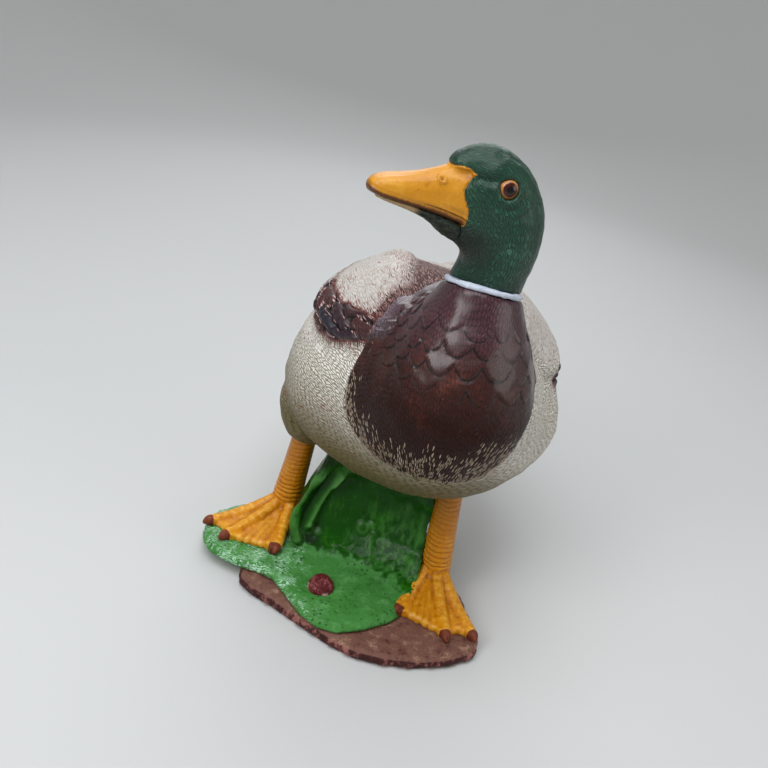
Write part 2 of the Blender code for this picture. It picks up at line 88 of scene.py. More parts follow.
@dataclass(frozen=True)
class Signal:
    """A node's output that adds, multiplies and so on like a number."""

    w: "Wiring"
    socket: bpy.types.NodeSocket

    def __add__(self, other: "Source") -> "Signal":
        """The sum."""
        return self.w.math("ADD", self, other)

    def __sub__(self, other: "Source") -> "Signal":
        """The difference."""
        return self.w.math("SUBTRACT", self, other)

    def __rsub__(self, other: float) -> "Signal":
        """A number less this."""
        return self.w.math("SUBTRACT", other, self)

    def __mul__(self, other: "Source") -> "Signal":
        """The product."""
        return self.w.math("MULTIPLY", self, other)

    def __truediv__(self, other: "Source") -> "Signal":
        """The quotient."""
        return self.w.math("DIVIDE", self, other)

    def __abs__(self) -> "Signal":
        """The size without the sign."""
        return self.w.math("ABSOLUTE", self)

    def floor(self) -> "Signal":
        """The whole number below."""
        return self.w.math("FLOOR", self)

    def fract(self) -> "Signal":
        """What is over the whole number below."""
        return self.w.math("FRACT", self)

    __radd__ = __add__
    __rmul__ = __mul__


Colour = tuple[float, float, float]
Source = Signal | float | tuple


class Wiring:
    """Adds nodes to one tree and joins them."""

    def __init__(self, tree: bpy.types.NodeTree) -> None:
        """Keeps the tree."""
        self.tree = tree

    def add(self, kind: str, **settings: object) -> bpy.types.Node:
        """Adds a node.

        Args:
            kind: the node's type name.
            settings: properties to set on it.

        Returns:
            The node.
        """
        node = self.tree.nodes.new(kind)
        for name, value in settings.items():
            setattr(node, name, value)
        return node

    def feed(self, socket: bpy.types.NodeSocket, source: Source) -> None:
        """Links a socket to a signal, or sets its value.

        Args:
            socket: the input.
            source: a signal, a number, a vector or a colour.
        """
        if isinstance(source, Signal):
            self.tree.links.new(source.socket, socket)
        elif isinstance(source, tuple) and socket.type == "RGBA" and len(source) == 3:
            socket.default_value = (*source, 1.0)
        else:
            socket.default_value = source

    def node(self, kind: str, inputs: dict, output: int | str = 0, **settings: object) -> Signal:
        """Adds a node and feeds it.

        Args:
            kind: the node's type name.
            inputs: what goes into each input, by name or number.
            output: which output is wanted.
            settings: properties to set on it.

        Returns:
            The output's signal.
        """
        node = self.add(kind, **settings)
        for key, source in inputs.items():
            self.feed(node.inputs[key], source)
        return Signal(self, node.outputs[output])

    def math(self, operation: str, *values: Source, clamp: bool = False) -> Signal:
        """Does one sum; clamp keeps it between 0 and 1."""
        return self.node("ShaderNodeMath", dict(enumerate(values)), operation=operation, use_clamp=clamp)

    def stretched(self, vector: Source, by: tuple[float, float, float]) -> Signal:
        """A vector with each part multiplied."""
        return self.node("ShaderNodeVectorMath", {0: vector, 1: by}, operation="MULTIPLY")

    def shrunk(self, vector: Source, size: Source) -> Signal:
        """A vector divided by a size."""
        inputs = {0: vector, "Scale": self.math("DIVIDE", 1.0, size)}
        return self.node("ShaderNodeVectorMath", inputs, operation="SCALE")

    def blend(self, factor: Source, first: Source, second: Source) -> Signal:
        """Mixes two colours; the factor is how much of the second."""
        return self.node("ShaderNodeMix", {0: factor, 6: first, 7: second}, 2, data_type="RGBA")

    def between(self, value: Source, low: float, high: float, start: float = 0.0, end: float = 1.0) -> Signal:
        """Eases a value from one range, low to high, to another, start to end."""
        inputs = dict(enumerate((value, low, high, start, end)))
        return self.node("ShaderNodeMapRange", inputs, interpolation_type="SMOOTHSTEP")

    def noise(self, vector: Source, scale: float, detail: float = 3.0, roughness: float = 0.6) -> Signal:
        """Adds smooth noise.

        Args:
            vector: where it is read.
            scale: its frequency.
            detail: its octaves.
            roughness: how strong the finer ones are.

        Returns:
            The noise's value.
        """
        inputs = {"Vector": vector, "Scale": scale, "Detail": detail, "Roughness": roughness}
        return self.node("ShaderNodeTexNoise", inputs, "Fac", noise_dimensions="3D")

    def ragged(self, vector: Source, scale: float, amount: float, detail: float = 3.0,
               roughness: float = 0.6) -> Signal:
        """Noise about 0, for an uneven edge.

        Args:
            vector: where it is read.
            scale: its frequency.
            amount: its whole swing.
            detail: its octaves.
            roughness: how strong the finer ones are.

        Returns:
            The noise's value.
        """
        return (self.noise(vector, scale, detail, roughness) - 0.5) * amount

    def pair(self, first: Source, second: Source) -> Signal:
        """A vector of two numbers."""
        return self.node("ShaderNodeCombineXYZ", {0: first, 1: second})

    def white(self, first: Source, second: Source) -> Signal:
        """One number between 0 and 1 for each pair of numbers."""
        spot = self.pair(first, second)
        return self.node("ShaderNodeTexWhiteNoise", {"Vector": spot}, "Value", noise_dimensions="2D")

    def place(self) -> Signal:
        """The point on the object, in millimetres."""
        return self.stretched(self.node("ShaderNodeTexCoord", {}, "Object"), (1 / MM,) * 3)

    def stored(self, name: str) -> Signal:
        """A value that the piece stores at each point."""
        return self.node("ShaderNodeAttribute", {}, "Fac", attribute_name=name)

    def parts(self, vector: Source) -> list[Signal]:
        """A vector's three parts.

        Args:
            vector: the signal to take apart.

        Returns:
            The signals of X, Y and Z.
        """
        node = self.add("ShaderNodeSeparateXYZ")
        self.feed(node.inputs[0], vector)
        return [Signal(self, socket) for socket in node.outputs]

    def use(self, group: bpy.types.NodeTree, **inputs: Source) -> dict[str, Signal]:
        """Places a shared group.

        Args:
            group: the group's tree.
            inputs: its inputs by name, with _ for a space.

        Returns:
            Its outputs by name.
        """
        node = self.add("ShaderNodeGroup", node_tree=group)
        for name, value in inputs.items():
            self.feed(node.inputs[name.replace("_", " ")], value)
        return {socket.name: Signal(self, socket) for socket in node.outputs}


def new_group(name: str, inputs: dict[str, object], outputs: dict[str, str]) -> tuple[Wiring, dict, dict]:
    """Starts a shared node group.

    Args:
        name: the group's name.
        inputs: each input's default by name; a tuple of three is a vector, of four a colour.
        outputs: each output's kind by name, Float or Color.

    Returns:
        The group's wiring, its inputs' signals and the sockets its outputs are fed through.
    """
    tree = bpy.data.node_groups.new(name, "ShaderNodeTree")
    for label, default in inputs.items():
        kind = "Float"
        if isinstance(default, tuple):
            kind = "Color" if len(default) == 4 else "Vector"
        socket = tree.interface.new_socket(label, in_out="INPUT", socket_type=f"NodeSocket{kind}")
        socket.default_value = default
    for label, kind in outputs.items():
        tree.interface.new_socket(label, in_out="OUTPUT", socket_type=f"NodeSocket{kind}")
    w = Wiring(tree)
    entry = w.add("NodeGroupInput")
    leave = w.add("NodeGroupOutput")
    return w, {s.name: Signal(w, s) for s in entry.outputs}, {s.name: s for s in leave.inputs}


@dataclass(frozen=True)
class Effects:
    """The shared effects, built once."""

    strokes: bpy.types.NodeTree
    drybrush: bpy.types.NodeTree
    grit: bpy.types.NodeTree
    mottle: bpy.types.NodeTree
    scales: bpy.types.NodeTree

    @classmethod
    def build(cls) -> "Effects":
        """Builds every group."""
        return cls(cls._strokes(), cls._drybrush(), cls._grit(), cls._mottle(), cls._scales())

    @staticmethod
    def _strokes() -> bpy.types.NodeTree:
        """Combed hair strokes in wavering rows, each tapered. The vector's X runs along them, in mm.

        Returns:
            The node group.
        """
        w, given, out = new_group(
            "Combed strokes",
            {"Vector": (0.0, 0.0, 0.0), "Length": 8.0, "Width": 2.0, "Waver": 1.0},
            {"Height": "Float", "Chance": "Float"},
        )
        along, across, _ = w.parts(given["Vector"])
        drift = w.ragged(w.stretched(given["Vector"], (0.6, 1.0, 1.0)), 0.11, 6.0, 2.0, 0.55)
        lane = across / given["Width"] + drift * given["Waver"]
        row = lane.floor()
        aside = abs(lane.fract() - 0.5)
        run = along / given["Length"] + w.white(row, 0.5) * 5.0
        half = w.between(abs(run.fract() - 0.5), 0.2, 0.5, 0.5, 0.12)
        chance = w.white(row, run.floor())
        crest = w.between(aside / half, 0.3, 1.0, 1.0, 0.0)
        w.feed(out["Height"], crest * (0.7 + chance * 0.3))
        w.feed(out["Chance"], chance)
        return w.tree

    @staticmethod
    def _drybrush() -> bpy.types.NodeTree:
        """Paint that only catches the crests, worn through in patches.

        Returns:
            The node group.
        """
        w, given, out = new_group(
            "Drybrushed crests",
            {"Height": 0.5, "Vector": (0.0, 0.0, 0.0), "Base": (0.2, 0.2, 0.2, 1.0),
             "Crest": (0.8, 0.8, 0.8, 1.0), "Cover": 0.5, "Patchiness": 0.3},
            {"Color": "Color"},
        )
        uneven = w.ragged(given["Vector"], 0.09, 3.0) * given["Patchiness"]
        reach = given["Height"] + (given["Cover"] - 0.5) + uneven
        w.feed(out["Color"], w.blend(w.between(reach, 0.3, 0.72), given["Base"], given["Crest"]))
        return w.tree

    @staticmethod
    def _grit() -> bpy.types.NodeTree:
        """Rough casting: Height is the rough surface, Pits is 1 in its pinholes.

        Returns:
            The node group.
        """
        w, given, out = new_group(
            "Rough casting", {"Vector": (0.0, 0.0, 0.0), "Size": 3.0, "Pit share": 0.2},
            {"Height": "Float", "Pits": "Float"},
        )
        grain = w.shrunk(given["Vector"], given["Size"])
        cells = w.node("ShaderNodeTexVoronoi", {"Vector": grain, "Scale": 0.62}, "Distance", feature="F1")
        where = w.noise(given["Vector"], 0.045, 2.0, 0.5)
        limit = given["Pit share"] * w.between(where, 0.42, 0.62, 0.35, 1.5)
        pits = w.between(cells - limit, 0.0, 0.1, 1.0, 0.0)
        w.feed(out["Pits"], pits)
        w.feed(out["Height"], w.noise(grain, 0.8, 5.0, 0.62) - pits * 0.6)
        return w.tree

    @staticmethod
    def _mottle() -> bpy.types.NodeTree:
        """Thin handwork: a paint that is lighter and darker in soft patches, with an uneven shine.

        Returns:
            The node group.
        """
        w, given, out = new_group(
            "Hand-laid paint",
            {"Vector": (0.0, 0.0, 0.0), "Base": (0.5, 0.5, 0.5, 1.0), "Light": (0.7, 0.7, 0.7, 1.0),
             "Dark": (0.2, 0.2, 0.2, 1.0), "Size": 20.0, "Gloss": 0.4},
            {"Color": "Color", "Roughness": "Float"},
        )
        grain = w.shrunk(given["Vector"], given["Size"])
        fine = w.noise(grain, 6.0)
        tone = w.noise(grain, 1.0, 4.0) * 0.75 + fine * 0.25
        lighter = w.blend(w.between(tone, 0.5, 0.72), given["Base"], given["Light"])
        w.feed(out["Color"], w.blend(w.between(tone, 0.28, 0.47, 1.0, 0.0), lighter, given["Dark"]))
        w.feed(out["Roughness"], w.math("ADD", given["Gloss"], (fine - 0.5) * 0.5, clamp=True))
        return w.tree

    @staticmethod
    def _scales() -> bpy.types.NodeTree:
        """Feathers that overlap like tiles: Gap is how far a point lies below the tip that covers it.

        Across, Along and Gap are in feathers; Along grows towards the tips.

        Returns:
            The node group.
        """
        w, given, out = new_group(
            "Overlapping feathers", {"Across": 0.0, "Along": 0.0, "Bow": 0.8}, {"Gap": "Float"})
        row = given["Along"].floor()

        def edge(number: Signal) -> Signal:
            """The tip line of one row."""
            off = (given["Across"] + w.math("FLOORED_MODULO", number, 2.0) * 0.5).fract() - 0.5
            return number + given["Bow"] * (1.0 - off * off * 4.0)

        own = edge(row)
        past = w.math("GREATER_THAN", given["Along"], own)
        covering = edge(row - 1.0) * (1.0 - past) + own * past
        w.feed(out["Gap"], given["Along"] - covering)
        return w.tree


# ---------------------------------------------------------------------------
# Finishes


def srgb(red: int, green: int, blue: int) -> Colour:
    """A paint's colour in linear light.

    Args:
        red: 0 to 255.
        green: 0 to 255.
        blue: 0 to 255.

    Returns:
        The three linear parts.
    """
    shares = (part / 255 for part in (red, green, blue))
    return tuple(((v + 0.055) / 1.055) ** 2.4 if v > 0.04 else v / 12.92 for v in shares)


class Look(NamedTuple):
    """What a finish puts on the shader; its depth is the relief's in mm."""

    colour: Source
    roughness: Source
    height: Source
    depth: float
    coat: Optional[Source] = None


@dataclass(frozen=True)
class Finish:
    """A painted finish; each kind wires its own colour and relief."""

    effects: Effects
    name: str = "paint"
    coat: float = 0.0
    coat_roughness: float = 0.15
    specular: float = 0.25

    def wire(self, w: Wiring) -> Look:
        """Wires the colour, the shine and the relief."""
        raise NotImplementedError

    def laid(self, w: Wiring, place: Signal, shades: Sequence[Colour], size: float,
             gloss: float) -> tuple[Signal, Signal]:
        """Hand-laid paint.

        Args:
            w: the wiring.
            place: the point in mm.
            shades: its base, light and dark colours.
            size: the patches' size in mm.
            gloss: its roughness.

        Returns:
            The colour and the roughness.
        """
        base, light, dark = shades
        paint = w.use(self.effects.mottle, Vector=place, Base=base, Light=light, Dark=dark, Size=size,
                      Gloss=gloss)
        return paint["Color"], paint["Roughness"]

    def combed(self, w: Wiring, flow: Source, length: float, width: float,
               waver: float) -> tuple[Signal, Signal]:
        """Combed strokes.

        Args:
            w: the wiring.
            flow: the place along and across the strokes.
            length: a stroke's length in mm.
            width: a stroke's width in mm.
            waver: how far the rows wander.

        Returns:
            The strokes' height and each one's own chance.
        """
        strokes = w.use(self.effects.strokes, Vector=flow, Length=length, Width=width, Waver=waver)
        return strokes["Height"], strokes["Chance"]

    def build(self) -> bpy.types.Material:
        """Makes the material.

        Returns:
            The material.
        """
        material = bpy.data.materials.new(self.name)
        material.use_nodes = True
        w = Wiring(material.node_tree)
        shader = next(n for n in w.tree.nodes if n.type == "BSDF_PRINCIPLED")
        look = self.wire(w)
        w.feed(shader.inputs["Base Color"], look.colour)
        w.feed(shader.inputs["Roughness"], look.roughness)
        w.feed(shader.inputs["Coat Weight"], self.coat if look.coat is None else look.coat)
        shader.inputs["Specular IOR Level"].default_value = self.specular
        shader.inputs["Coat Roughness"].default_value = self.coat_roughness
        relief = {"Strength": 1.0, "Distance": look.depth * MM, "Height": look.height}
        w.feed(shader.inputs["Normal"], w.node("ShaderNodeBump", relief))
        return material


class Ground(NamedTuple):
    """What the body's paints share: the place, some mm of noise, and thin strokes with their chances."""

    place: Signal
    ragged: Signal
    fine: Signal
    chance: Signal


@dataclass(frozen=True)
class Plumage(Finish):
    """The body's paint: cream with carved strokes, a chestnut breast, dark coverts and a brown mantle."""

    name: str = "body plumage paint"
    coat_roughness: float = 0.3
    specular: float = 0.14

    def cream(self, w: Wiring, ground: Ground, strokes: Signal) -> Signal:
        """The cream of the flanks, belly and back, with painted light and shade: lighter towards the top and
        on the duck's left flank, darker where it faces down.

        Args:
            w: the wiring.
            ground: what the body's paints share.
            strokes: the carved strokes' height.

        Returns:
            The colour.
        """
        x, _, z = w.parts(ground.place)
        # Painted light and shade: the cream runs from a shaded to a lit copy, lighter higher up and on the
        # duck's left flank, darker where the skin faces down.
        height = z + w.between(x, 20.0, 90.0, 0.0, 60.0) + ground.ragged * 2.0
        sunlit = w.between(height, 134.0, 222.0) * w.between(w.stored("below"), 0.0, 1.0, 1.0, 0.25)
        # The back's cream is partly its own pinker paint and partly painted shade: its crests are duller than
        # the flanks' under the light from above.
        over = w.stored("over")
        groove = w.blend(sunlit, srgb(80, 70, 40), w.blend(over, srgb(154, 145, 126), srgb(172, 161, 151)))
        crest = w.blend(sunlit, srgb(122, 111, 76), w.blend(over, srgb(234, 229, 222), srgb(194, 187, 181)))
        worn = w.use(self.effects.drybrush, Height=strokes, Vector=ground.place, Base=groove, Crest=crest,
                     Cover=0.62, Patchiness=0.3)
        # Thin red-brown hairs on the back and round the dark feathers.
        spread = w.noise(ground.place, 0.06) + w.stored("russet") * 0.34
        chosen = (spread - 0.5) * 1.7 - ground.chance
        dab = w.between(ground.fine, 0.35, 0.75) * w.between(chosen, 0.0, 0.06)
        return w.blend(dab * 0.75, worn["Color"], srgb(126, 70, 62))

    def flight(self, w: Wiring, ground: Ground, cream: Signal) -> Signal:
        """Lays the long wing feathers, the blue bar, the rump and the tail over the cream.

        Args:
            w: the wiring.
            ground: what the body's paints share.
            cream: the cream's colour.

        Returns:
            The colour.
        """
        place, ragged, fine, _ = ground
        strip = w.stored("strip").fract()
        tone = w.blend(w.noise(place, 0.06), srgb(104, 88, 80), srgb(158, 144, 134))
        tone = w.blend(fine * 0.35, tone, srgb(186, 174, 164))
        worn = w.between(w.noise(place, 0.12), 0.35, 0.6)
        tone = w.blend(w.between(strip, 0.86, 0.95, 0.0, 0.75) * worn, tone, srgb(204, 196, 186))
        tone = w.blend(w.between(strip, 0.0, 0.1, 0.85, 0.0), tone, srgb(52, 38, 34))
        colour = w.blend(w.between(w.stored("flight") + ragged * 0.5, -1.0, 1.0), cream, tone)
        bar = w.stored("speculum") + ragged * 0.3
        colour = w.blend(w.between(bar, -3.2, -2.4), colour, srgb(222, 216, 208))
        blue = w.blend(fine, srgb(26, 38, 82), srgb(52, 72, 130))
        colour = w.blend(w.between(bar, -0.4, 0.4), colour, blue)
        dark = w.blend(fine, srgb(32, 24, 24), srgb(74, 60, 58))
        rump = w.between(w.stored("rump") + ragged + (fine - 0.5) * 16.0, -2.0, 2.0)
        return w.blend(w.stored("tail_fan") * 0.7, w.blend(rump, colour, dark), srgb(116, 102, 94))

    def mantle(self, w: Wiring, ground: Ground, colour: Signal) -> Signal:
        """Lays the brown mantle with its pale hairs over the colour.

        Args:
            w: the wiring.
            ground: what the body's paints share.
            colour: the colour under it.

        Returns:
            The colour.
        """
        _, ragged, fine, chance = ground
        brown = w.blend(w.between(fine, 0.0, 0.5), srgb(44, 22, 20), srgb(84, 50, 47))
        picked = w.between(fine, 0.25, 0.7) * w.between(chance, 0.3, 0.5)
        inside = w.between(w.stored("mantle") + ragged + (fine - 0.5) * 12.0, -3.0, 3.0)
        return w.blend(inside, colour, w.blend(picked, brown, srgb(146, 112, 106)))

    def coverts(self, w: Wiring, ground: Ground) -> tuple[Signal, Signal]:
        """The dark lumpy feathers at the wing's front corner, whose paint runs down in points, with painted
        shade between the lumps.

        Args:
            w: the wiring.
            ground: what the body's paints share.

        Returns:
            Where they are and their colour.
        """
        _, ragged, fine, chance = ground
        near, lump = w.stored("cluster"), w.stored("lump")
        lane = w.stored("covert_round") / 2.6
        point = 1.0 - abs(lane.fract() - 0.5) * 2.0
        drip = point * (w.white(lane.floor(), 1.5) * 12.0 * w.stored("drip"))
        inside = w.between(near + drip + ragged * 0.3, -0.8, 0.8)
        dark = w.blend(w.stored("lump_chance"), srgb(40, 33, 46), srgb(88, 44, 38))
        dark = w.blend(w.between(fine, 0.1, 0.5, 0.6, 0.0), dark, srgb(18, 10, 12))
        # Painted shade in the hollows between the lumps.
        dark = w.blend(w.between(lump, -0.35, 0.3, 0.9, 0.0), dark, srgb(12, 6, 7))
        rim = w.between(abs(lump - 0.15), 0.04, 0.3, 1.0, 0.0)
        wisp = w.between(fine, 0.3, 0.7) * w.between(chance, 0.45, 0.6)
        dark = w.blend(rim * wisp * 0.9, dark, srgb(202, 168, 162))
        return inside, w.blend(w.between(near, -1.0, 2.5, 0.85, 0.0), dark, srgb(108, 46, 36))

    def breast(self, w: Wiring, place: Signal, tuft: tuple[Signal, Signal],
               cut_and_shade: Signal) -> tuple[Signal, Signal]:
        """The chestnut: glossy scallops above, hair strokes with cream crests below, with painted shadow in
        the scallops' cuts and a painted highlight and reflection on the upper breast.

        Args:
            w: the wiring.
            place: the point in mm.
            tuft: the hairs' height and chances.
            cut_and_shade: 1 in the cuts between the scallops, which painted shadow darkens.

        Returns:
            The colour and the roughness.
        """
        hair, chance = tuft
        down, fringe, patch = w.stored("breast_down"), w.stored("fringe"), w.stored("patch")
        shades = srgb(60, 22, 14), srgb(96, 42, 30), srgb(28, 9, 6)
        colour, rough = self.laid(w, place, shades, 20.0, 0.34)
        # Darker towards the breast's foot, and a painted mauve sky reflection over its top.
        colour = w.blend(w.between(down, -22.0, 30.0, 0.0, 0.75), colour, srgb(34, 11, 5))
        colour = w.blend(w.between(down, -70.0, -12.0, 0.5, 0.0), colour, srgb(92, 60, 72))
        # Painted shadow in the cuts under the scallops' lips.
        colour = w.blend(cut_and_shade * 0.85, colour, srgb(10, 5, 6))
        colour = w.blend(w.between(hair, 0.0, 0.4, 0.55, 0.0), colour, srgb(14, 6, 5))
        # Painted highlight: a pale mauve gloss along the breast's upper edge on the duck's right.
        shoulder_highlight = w.between(patch, 2.0, 26.0, 0.55, 0.0) * w.between(w.stored("breast_across"), 20.0, 42.0)
        shoulder_highlight = shoulder_highlight * w.between(down, -48.0, -12.0, 1.0, 0.0) * w.between(hair, 0.1, 0.7, 0.25, 1.0)
        colour = w.blend(shoulder_highlight, colour, srgb(158, 142, 156))
        # Cream on some of the hairs towards the lower edge.
        rim = w.math("MULTIPLY", w.between(patch, -2.0, 46.0, 0.95, 0.0), fringe, clamp=True)
        chosen = rim * 0.78 + w.ragged(place, 0.12, 0.9) * rim - chance
        catch = w.between(hair, 0.3, 0.8) * w.between(chosen, 0.0, 0.08)
        return w.blend(catch * w.between(fringe, 0.1, 0.6, 0.3, 0.85), colour, srgb(180, 160, 136)), rough

    def wire(self, w: Wiring) -> Look:
        """Wires the colour, the shine and the relief.

        Args:
            w: the nodes of the finish's material.

        Returns:
            What the shader takes.
        """
        place, over = w.place(), w.stored("over")
        side = w.pair(w.stored("side_along"), w.stored("side_across"))
        back = w.pair(w.parts(place)[1], w.stored("back_across"))
        on_side, _ = self.combed(w, side, 6.5, 1.65, 0.75)
        on_back, _ = self.combed(w, back, 8.0, 2.2, 0.8)
        strokes = on_side * (1.0 - over) + on_back * over
        strokes = strokes * (1.0 - over * 0.4) + over * 0.3
        ground = Ground(place, w.ragged(place, 0.35, 9.0), *self.combed(w, back, 9.0, 1.5, 0.9))
        colour = self.flight(w, ground, self.cream(w, ground, strokes))
        colour = self.mantle(w, ground, colour)
        covert, dark = self.coverts(w, ground)
        colour = w.blend(covert, colour, dark)

        # The breast.
        scallop, down = w.stored("scallop"), w.stored("breast_down")
        gap = w.use(self.effects.scales, Across=w.stored("breast_across") / SCALLOP_WIDTH,
                    Along=down / SCALLOP_DROP, Bow=SCALLOP_BOW)["Gap"]
        cut_and_shade = w.between(gap / (0.08 + scallop * 0.14), 0.4, 1.0, 1.0, 0.0) * w.between(scallop, 0.1, 0.5)
        tuft = self.combed(w, w.pair(w.stored("tuft_along"), w.stored("tuft_across")), 4.5, 1.2, 0.8)
        hair = tuft[0]
        chestnut, rough = self.breast(w, place, tuft, cut_and_shade)
        strands = (hair - 0.5) * (w.stored("fringe") * 4.0)
        inside = w.between(w.stored("patch") + ground.ragged * 0.25 + strands, -0.7, 0.7)
        on_breast = hair * (1.3 - w.between(scallop, 0.0, 0.6) * 1.1)
        relief = strokes * (1.0 - inside) + on_breast * inside - cut_and_shade * inside * 1.6
        glazed = w.between(down, -25.0, 15.0, 0.74, 0.06)
        shiny = w.math("ADD", inside * glazed, covert * 0.4, clamp=True)
        rough = w.blend(inside, (0.5, 0.5, 0.5), rough)
        return Look(w.blend(inside, colour, chestnut), rough, relief, 0.6, shiny)


@dataclass(frozen=True)
class GreenHead(Finish):
    """Bottle-green paint over fine carved strokes, nearly black at the throat, with painted shade on the neck
    under the head.
    """

    name: str = "green head paint"
    coat: float = 0.3
    coat_roughness: float = 0.3

    def wire(self, w: Wiring) -> Look:
        """Wires the colour, the shine and the relief.

        Args:
            w: the nodes of the finish's material.

        Returns:
            What the shader takes.
        """
        place = w.place()
        strokes, _ = self.combed(w, w.pair(w.stored("hair_along"), w.stored("hair_across")), 7.0, 1.9, 0.9)
        shades = srgb(28, 76, 54), srgb(58, 104, 88), srgb(20, 52, 36)
        crest, rough = self.laid(w, place, shades, 24.0, 0.4)
        worn = w.use(self.effects.drybrush, Height=strokes, Vector=place, Base=srgb(22, 56, 42), Crest=crest,
                     Cover=0.75, Patchiness=0.15)
        # Painted shade under the head: the neck darkens towards its foot.
        green = w.blend(w.between(w.parts(place)[2], 296.0, 346.0, 0.55, 0.0), worn["Color"], srgb(8, 26, 20))
        green = w.blend(w.stored("throat") * 0.8, green, srgb(17, 22, 16))
        bill = w.between(w.stored("feather") + w.ragged(place, 0.5, 0.8, 2.0, 0.5), -0.3, 0.3)
        uneven = strokes + w.noise(place, 0.35, 4.0)
        return Look(w.blend(bill, green, srgb(196, 130, 32)), rough, uneven, 1.1)


@dataclass(frozen=True)
class WhiteRing(Finish):
    """Thick bluish-white paint laid by brush."""

    name: str = "white ring paint"

    def wire(self, w: Wiring) -> Look:
        """Wires the colour, the shine and the relief.

        Args:
            w: the nodes of the finish's material.

        Returns:
            What the shader takes.
        """
        place = w.place()
        shades = srgb(192, 200, 214), srgb(222, 226, 234), srgb(140, 144, 158)
        return Look(*self.laid(w, place, shades, 6.0, 0.55), w.noise(place, 0.8, 4.0), 0.4)


@dataclass(frozen=True)
class BillPaint(Finish):
    """Amber bill paint with a brown lower edge that is broadened into painted shade under the lip, a dark
    nail and a dark nostril.
    """

    name: str = "amber bill paint"
    coat: float = 0.25
    coat_roughness: float = 0.3

    def wire(self, w: Wiring) -> Look:
        """Wires the colour, the shine and the relief.

        Args:
            w: the nodes of the finish's material.

        Returns:
            What the shader takes.
        """
        place = w.place()
        shades = srgb(200, 134, 26), srgb(214, 152, 46), srgb(168, 100, 12)
        colour, rough = self.laid(w, place, shades, 18.0, 0.4)
        # The brown: the lower edge's own brown paint, broadened as painted shade under the lip, and the dark
        # nail and nostril.
        brown = w.stored("brown") + w.ragged(place, 0.4, 0.5)
        colour = w.blend(w.between(brown, 0.3, 0.85), colour, srgb(92, 50, 18))
        specks = w.between(w.noise(place, 0.55, 2.0, 0.5), 0.7, 0.76)
        colour = w.blend(specks * 0.5, colour, srgb(120, 70, 20))
        bill = w.between(w.stored("feather") + w.ragged(place, 0.5, 0.8, 2.0, 0.5), -0.3, 0.3)
        return Look(w.blend(bill, srgb(26, 66, 50), colour), rough, w.noise(place, 0.5, 5.0, 0.55), 0.3)


@dataclass(frozen=True)
class ChinPaint(Finish):
    """The lower bill: a pale lip in front, then grey-green chin feathering."""

    name: str = "chin paint"

    def wire(self, w: Wiring) -> Look:
        """Wires the colour, the shine and the relief.

        Args:
            w: the nodes of the finish's material.

        Returns:
            What the shader takes.
        """
        place = w.place()
        strokes = w.between(w.noise(w.stretched(place, (0.5, 1.0, 1.0)), 0.5), 0.35, 0.65)
        chin = w.blend(strokes, srgb(20, 26, 20), srgb(52, 58, 48))
        lip = w.blend(w.noise(place, 0.3), srgb(150, 118, 78), srgb(206, 180, 140))
        return Look(w.blend(w.stored("lip"), chin, lip), 0.45 + strokes * 0.15, strokes, 0.25)


@dataclass(frozen=True)
class OrangePaint(Finish):
    """Orange leg and foot paint, with painted shade in its folds and hollows, painted highlight on its
    ridges, and brown at the toes' tips.
    """

    name: str = "orange leg paint"
    coat: float = 0.22
    coat_roughness: float = 0.25

    def wire(self, w: Wiring) -> Look:
        """Wires the colour, the shine and the relief.

        Args:
            w: the nodes of the finish's material.

        Returns:
            What the shader takes.
        """
        place = w.place()
        shades = srgb(208, 132, 6), srgb(230, 164, 34), srgb(176, 98, 2)
        colour, rough = self.laid(w, place, shades, 14.0, 0.36)
        colour = w.blend(w.between(w.parts(place)[2], 40.0, 100.0, 0.0, 0.6), colour, srgb(146, 80, 3))
        # Painted highlight along the toes' ridges and knuckles.
        ridge = w.stored("ridge") * w.between(w.noise(place, 0.25), 0.3, 0.65)
        colour = w.blend(ridge * 0.6, colour, srgb(244, 190, 70))
        # Painted shade in the leg's folds and the foot's hollows.
        colour = w.blend(w.stored("fold") * 0.8, colour, srgb(124, 62, 2))
        nail = w.stored("nail") + w.ragged(place, 0.5, 0.6)
        colour = w.blend(w.between(nail, 0.4, 0.6), colour, srgb(104, 46, 28))
        return Look(colour, rough, w.noise(place, 0.6, 5.0), 0.6)


@dataclass(frozen=True)
class ClawPaint(Finish):
    """Dull red-brown claws."""

    name: str = "claw paint"

    def wire(self, w: Wiring) -> Look:
        """Wires the colour, the shine and the relief.

        Args:
            w: the nodes of the finish's material.

        Returns:
            What the shader takes.
        """
        place = w.place()
        shades = srgb(112, 50, 30), srgb(156, 92, 62), srgb(72, 28, 16)
        return Look(*self.laid(w, place, shades, 5.0, 0.5), w.noise(place, 1.2, 4.0), 0.3)


@dataclass(frozen=True)
class EyePaint(Finish):
    """A glossy eye: an orange ring round a dark brown pupil."""

    name: str = "glossy eye paint"
    coat: float = 0.35
    coat_roughness: float = 0.06

    def wire(self, w: Wiring) -> Look:
        """Wires the colour, the shine and the relief.

        Args:
            w: the nodes of the finish's material.

        Returns:
            What the shader takes.
        """
        place = w.place()
        out = w.stored("from_centre") + w.ragged(place, 0.5, 0.9, 2.0, 0.5)
        core = w.blend(w.between(out, 1.8, 3.6), srgb(10, 8, 12), srgb(62, 24, 20))
        colour = w.blend(w.between(out, 4.5, 5.1), core, srgb(186, 124, 70))
        return Look(colour, w.between(out, 4.2, 5.0, 0.12, 0.4), w.noise(place, 1.0, 2.0, 0.5), 0.08)


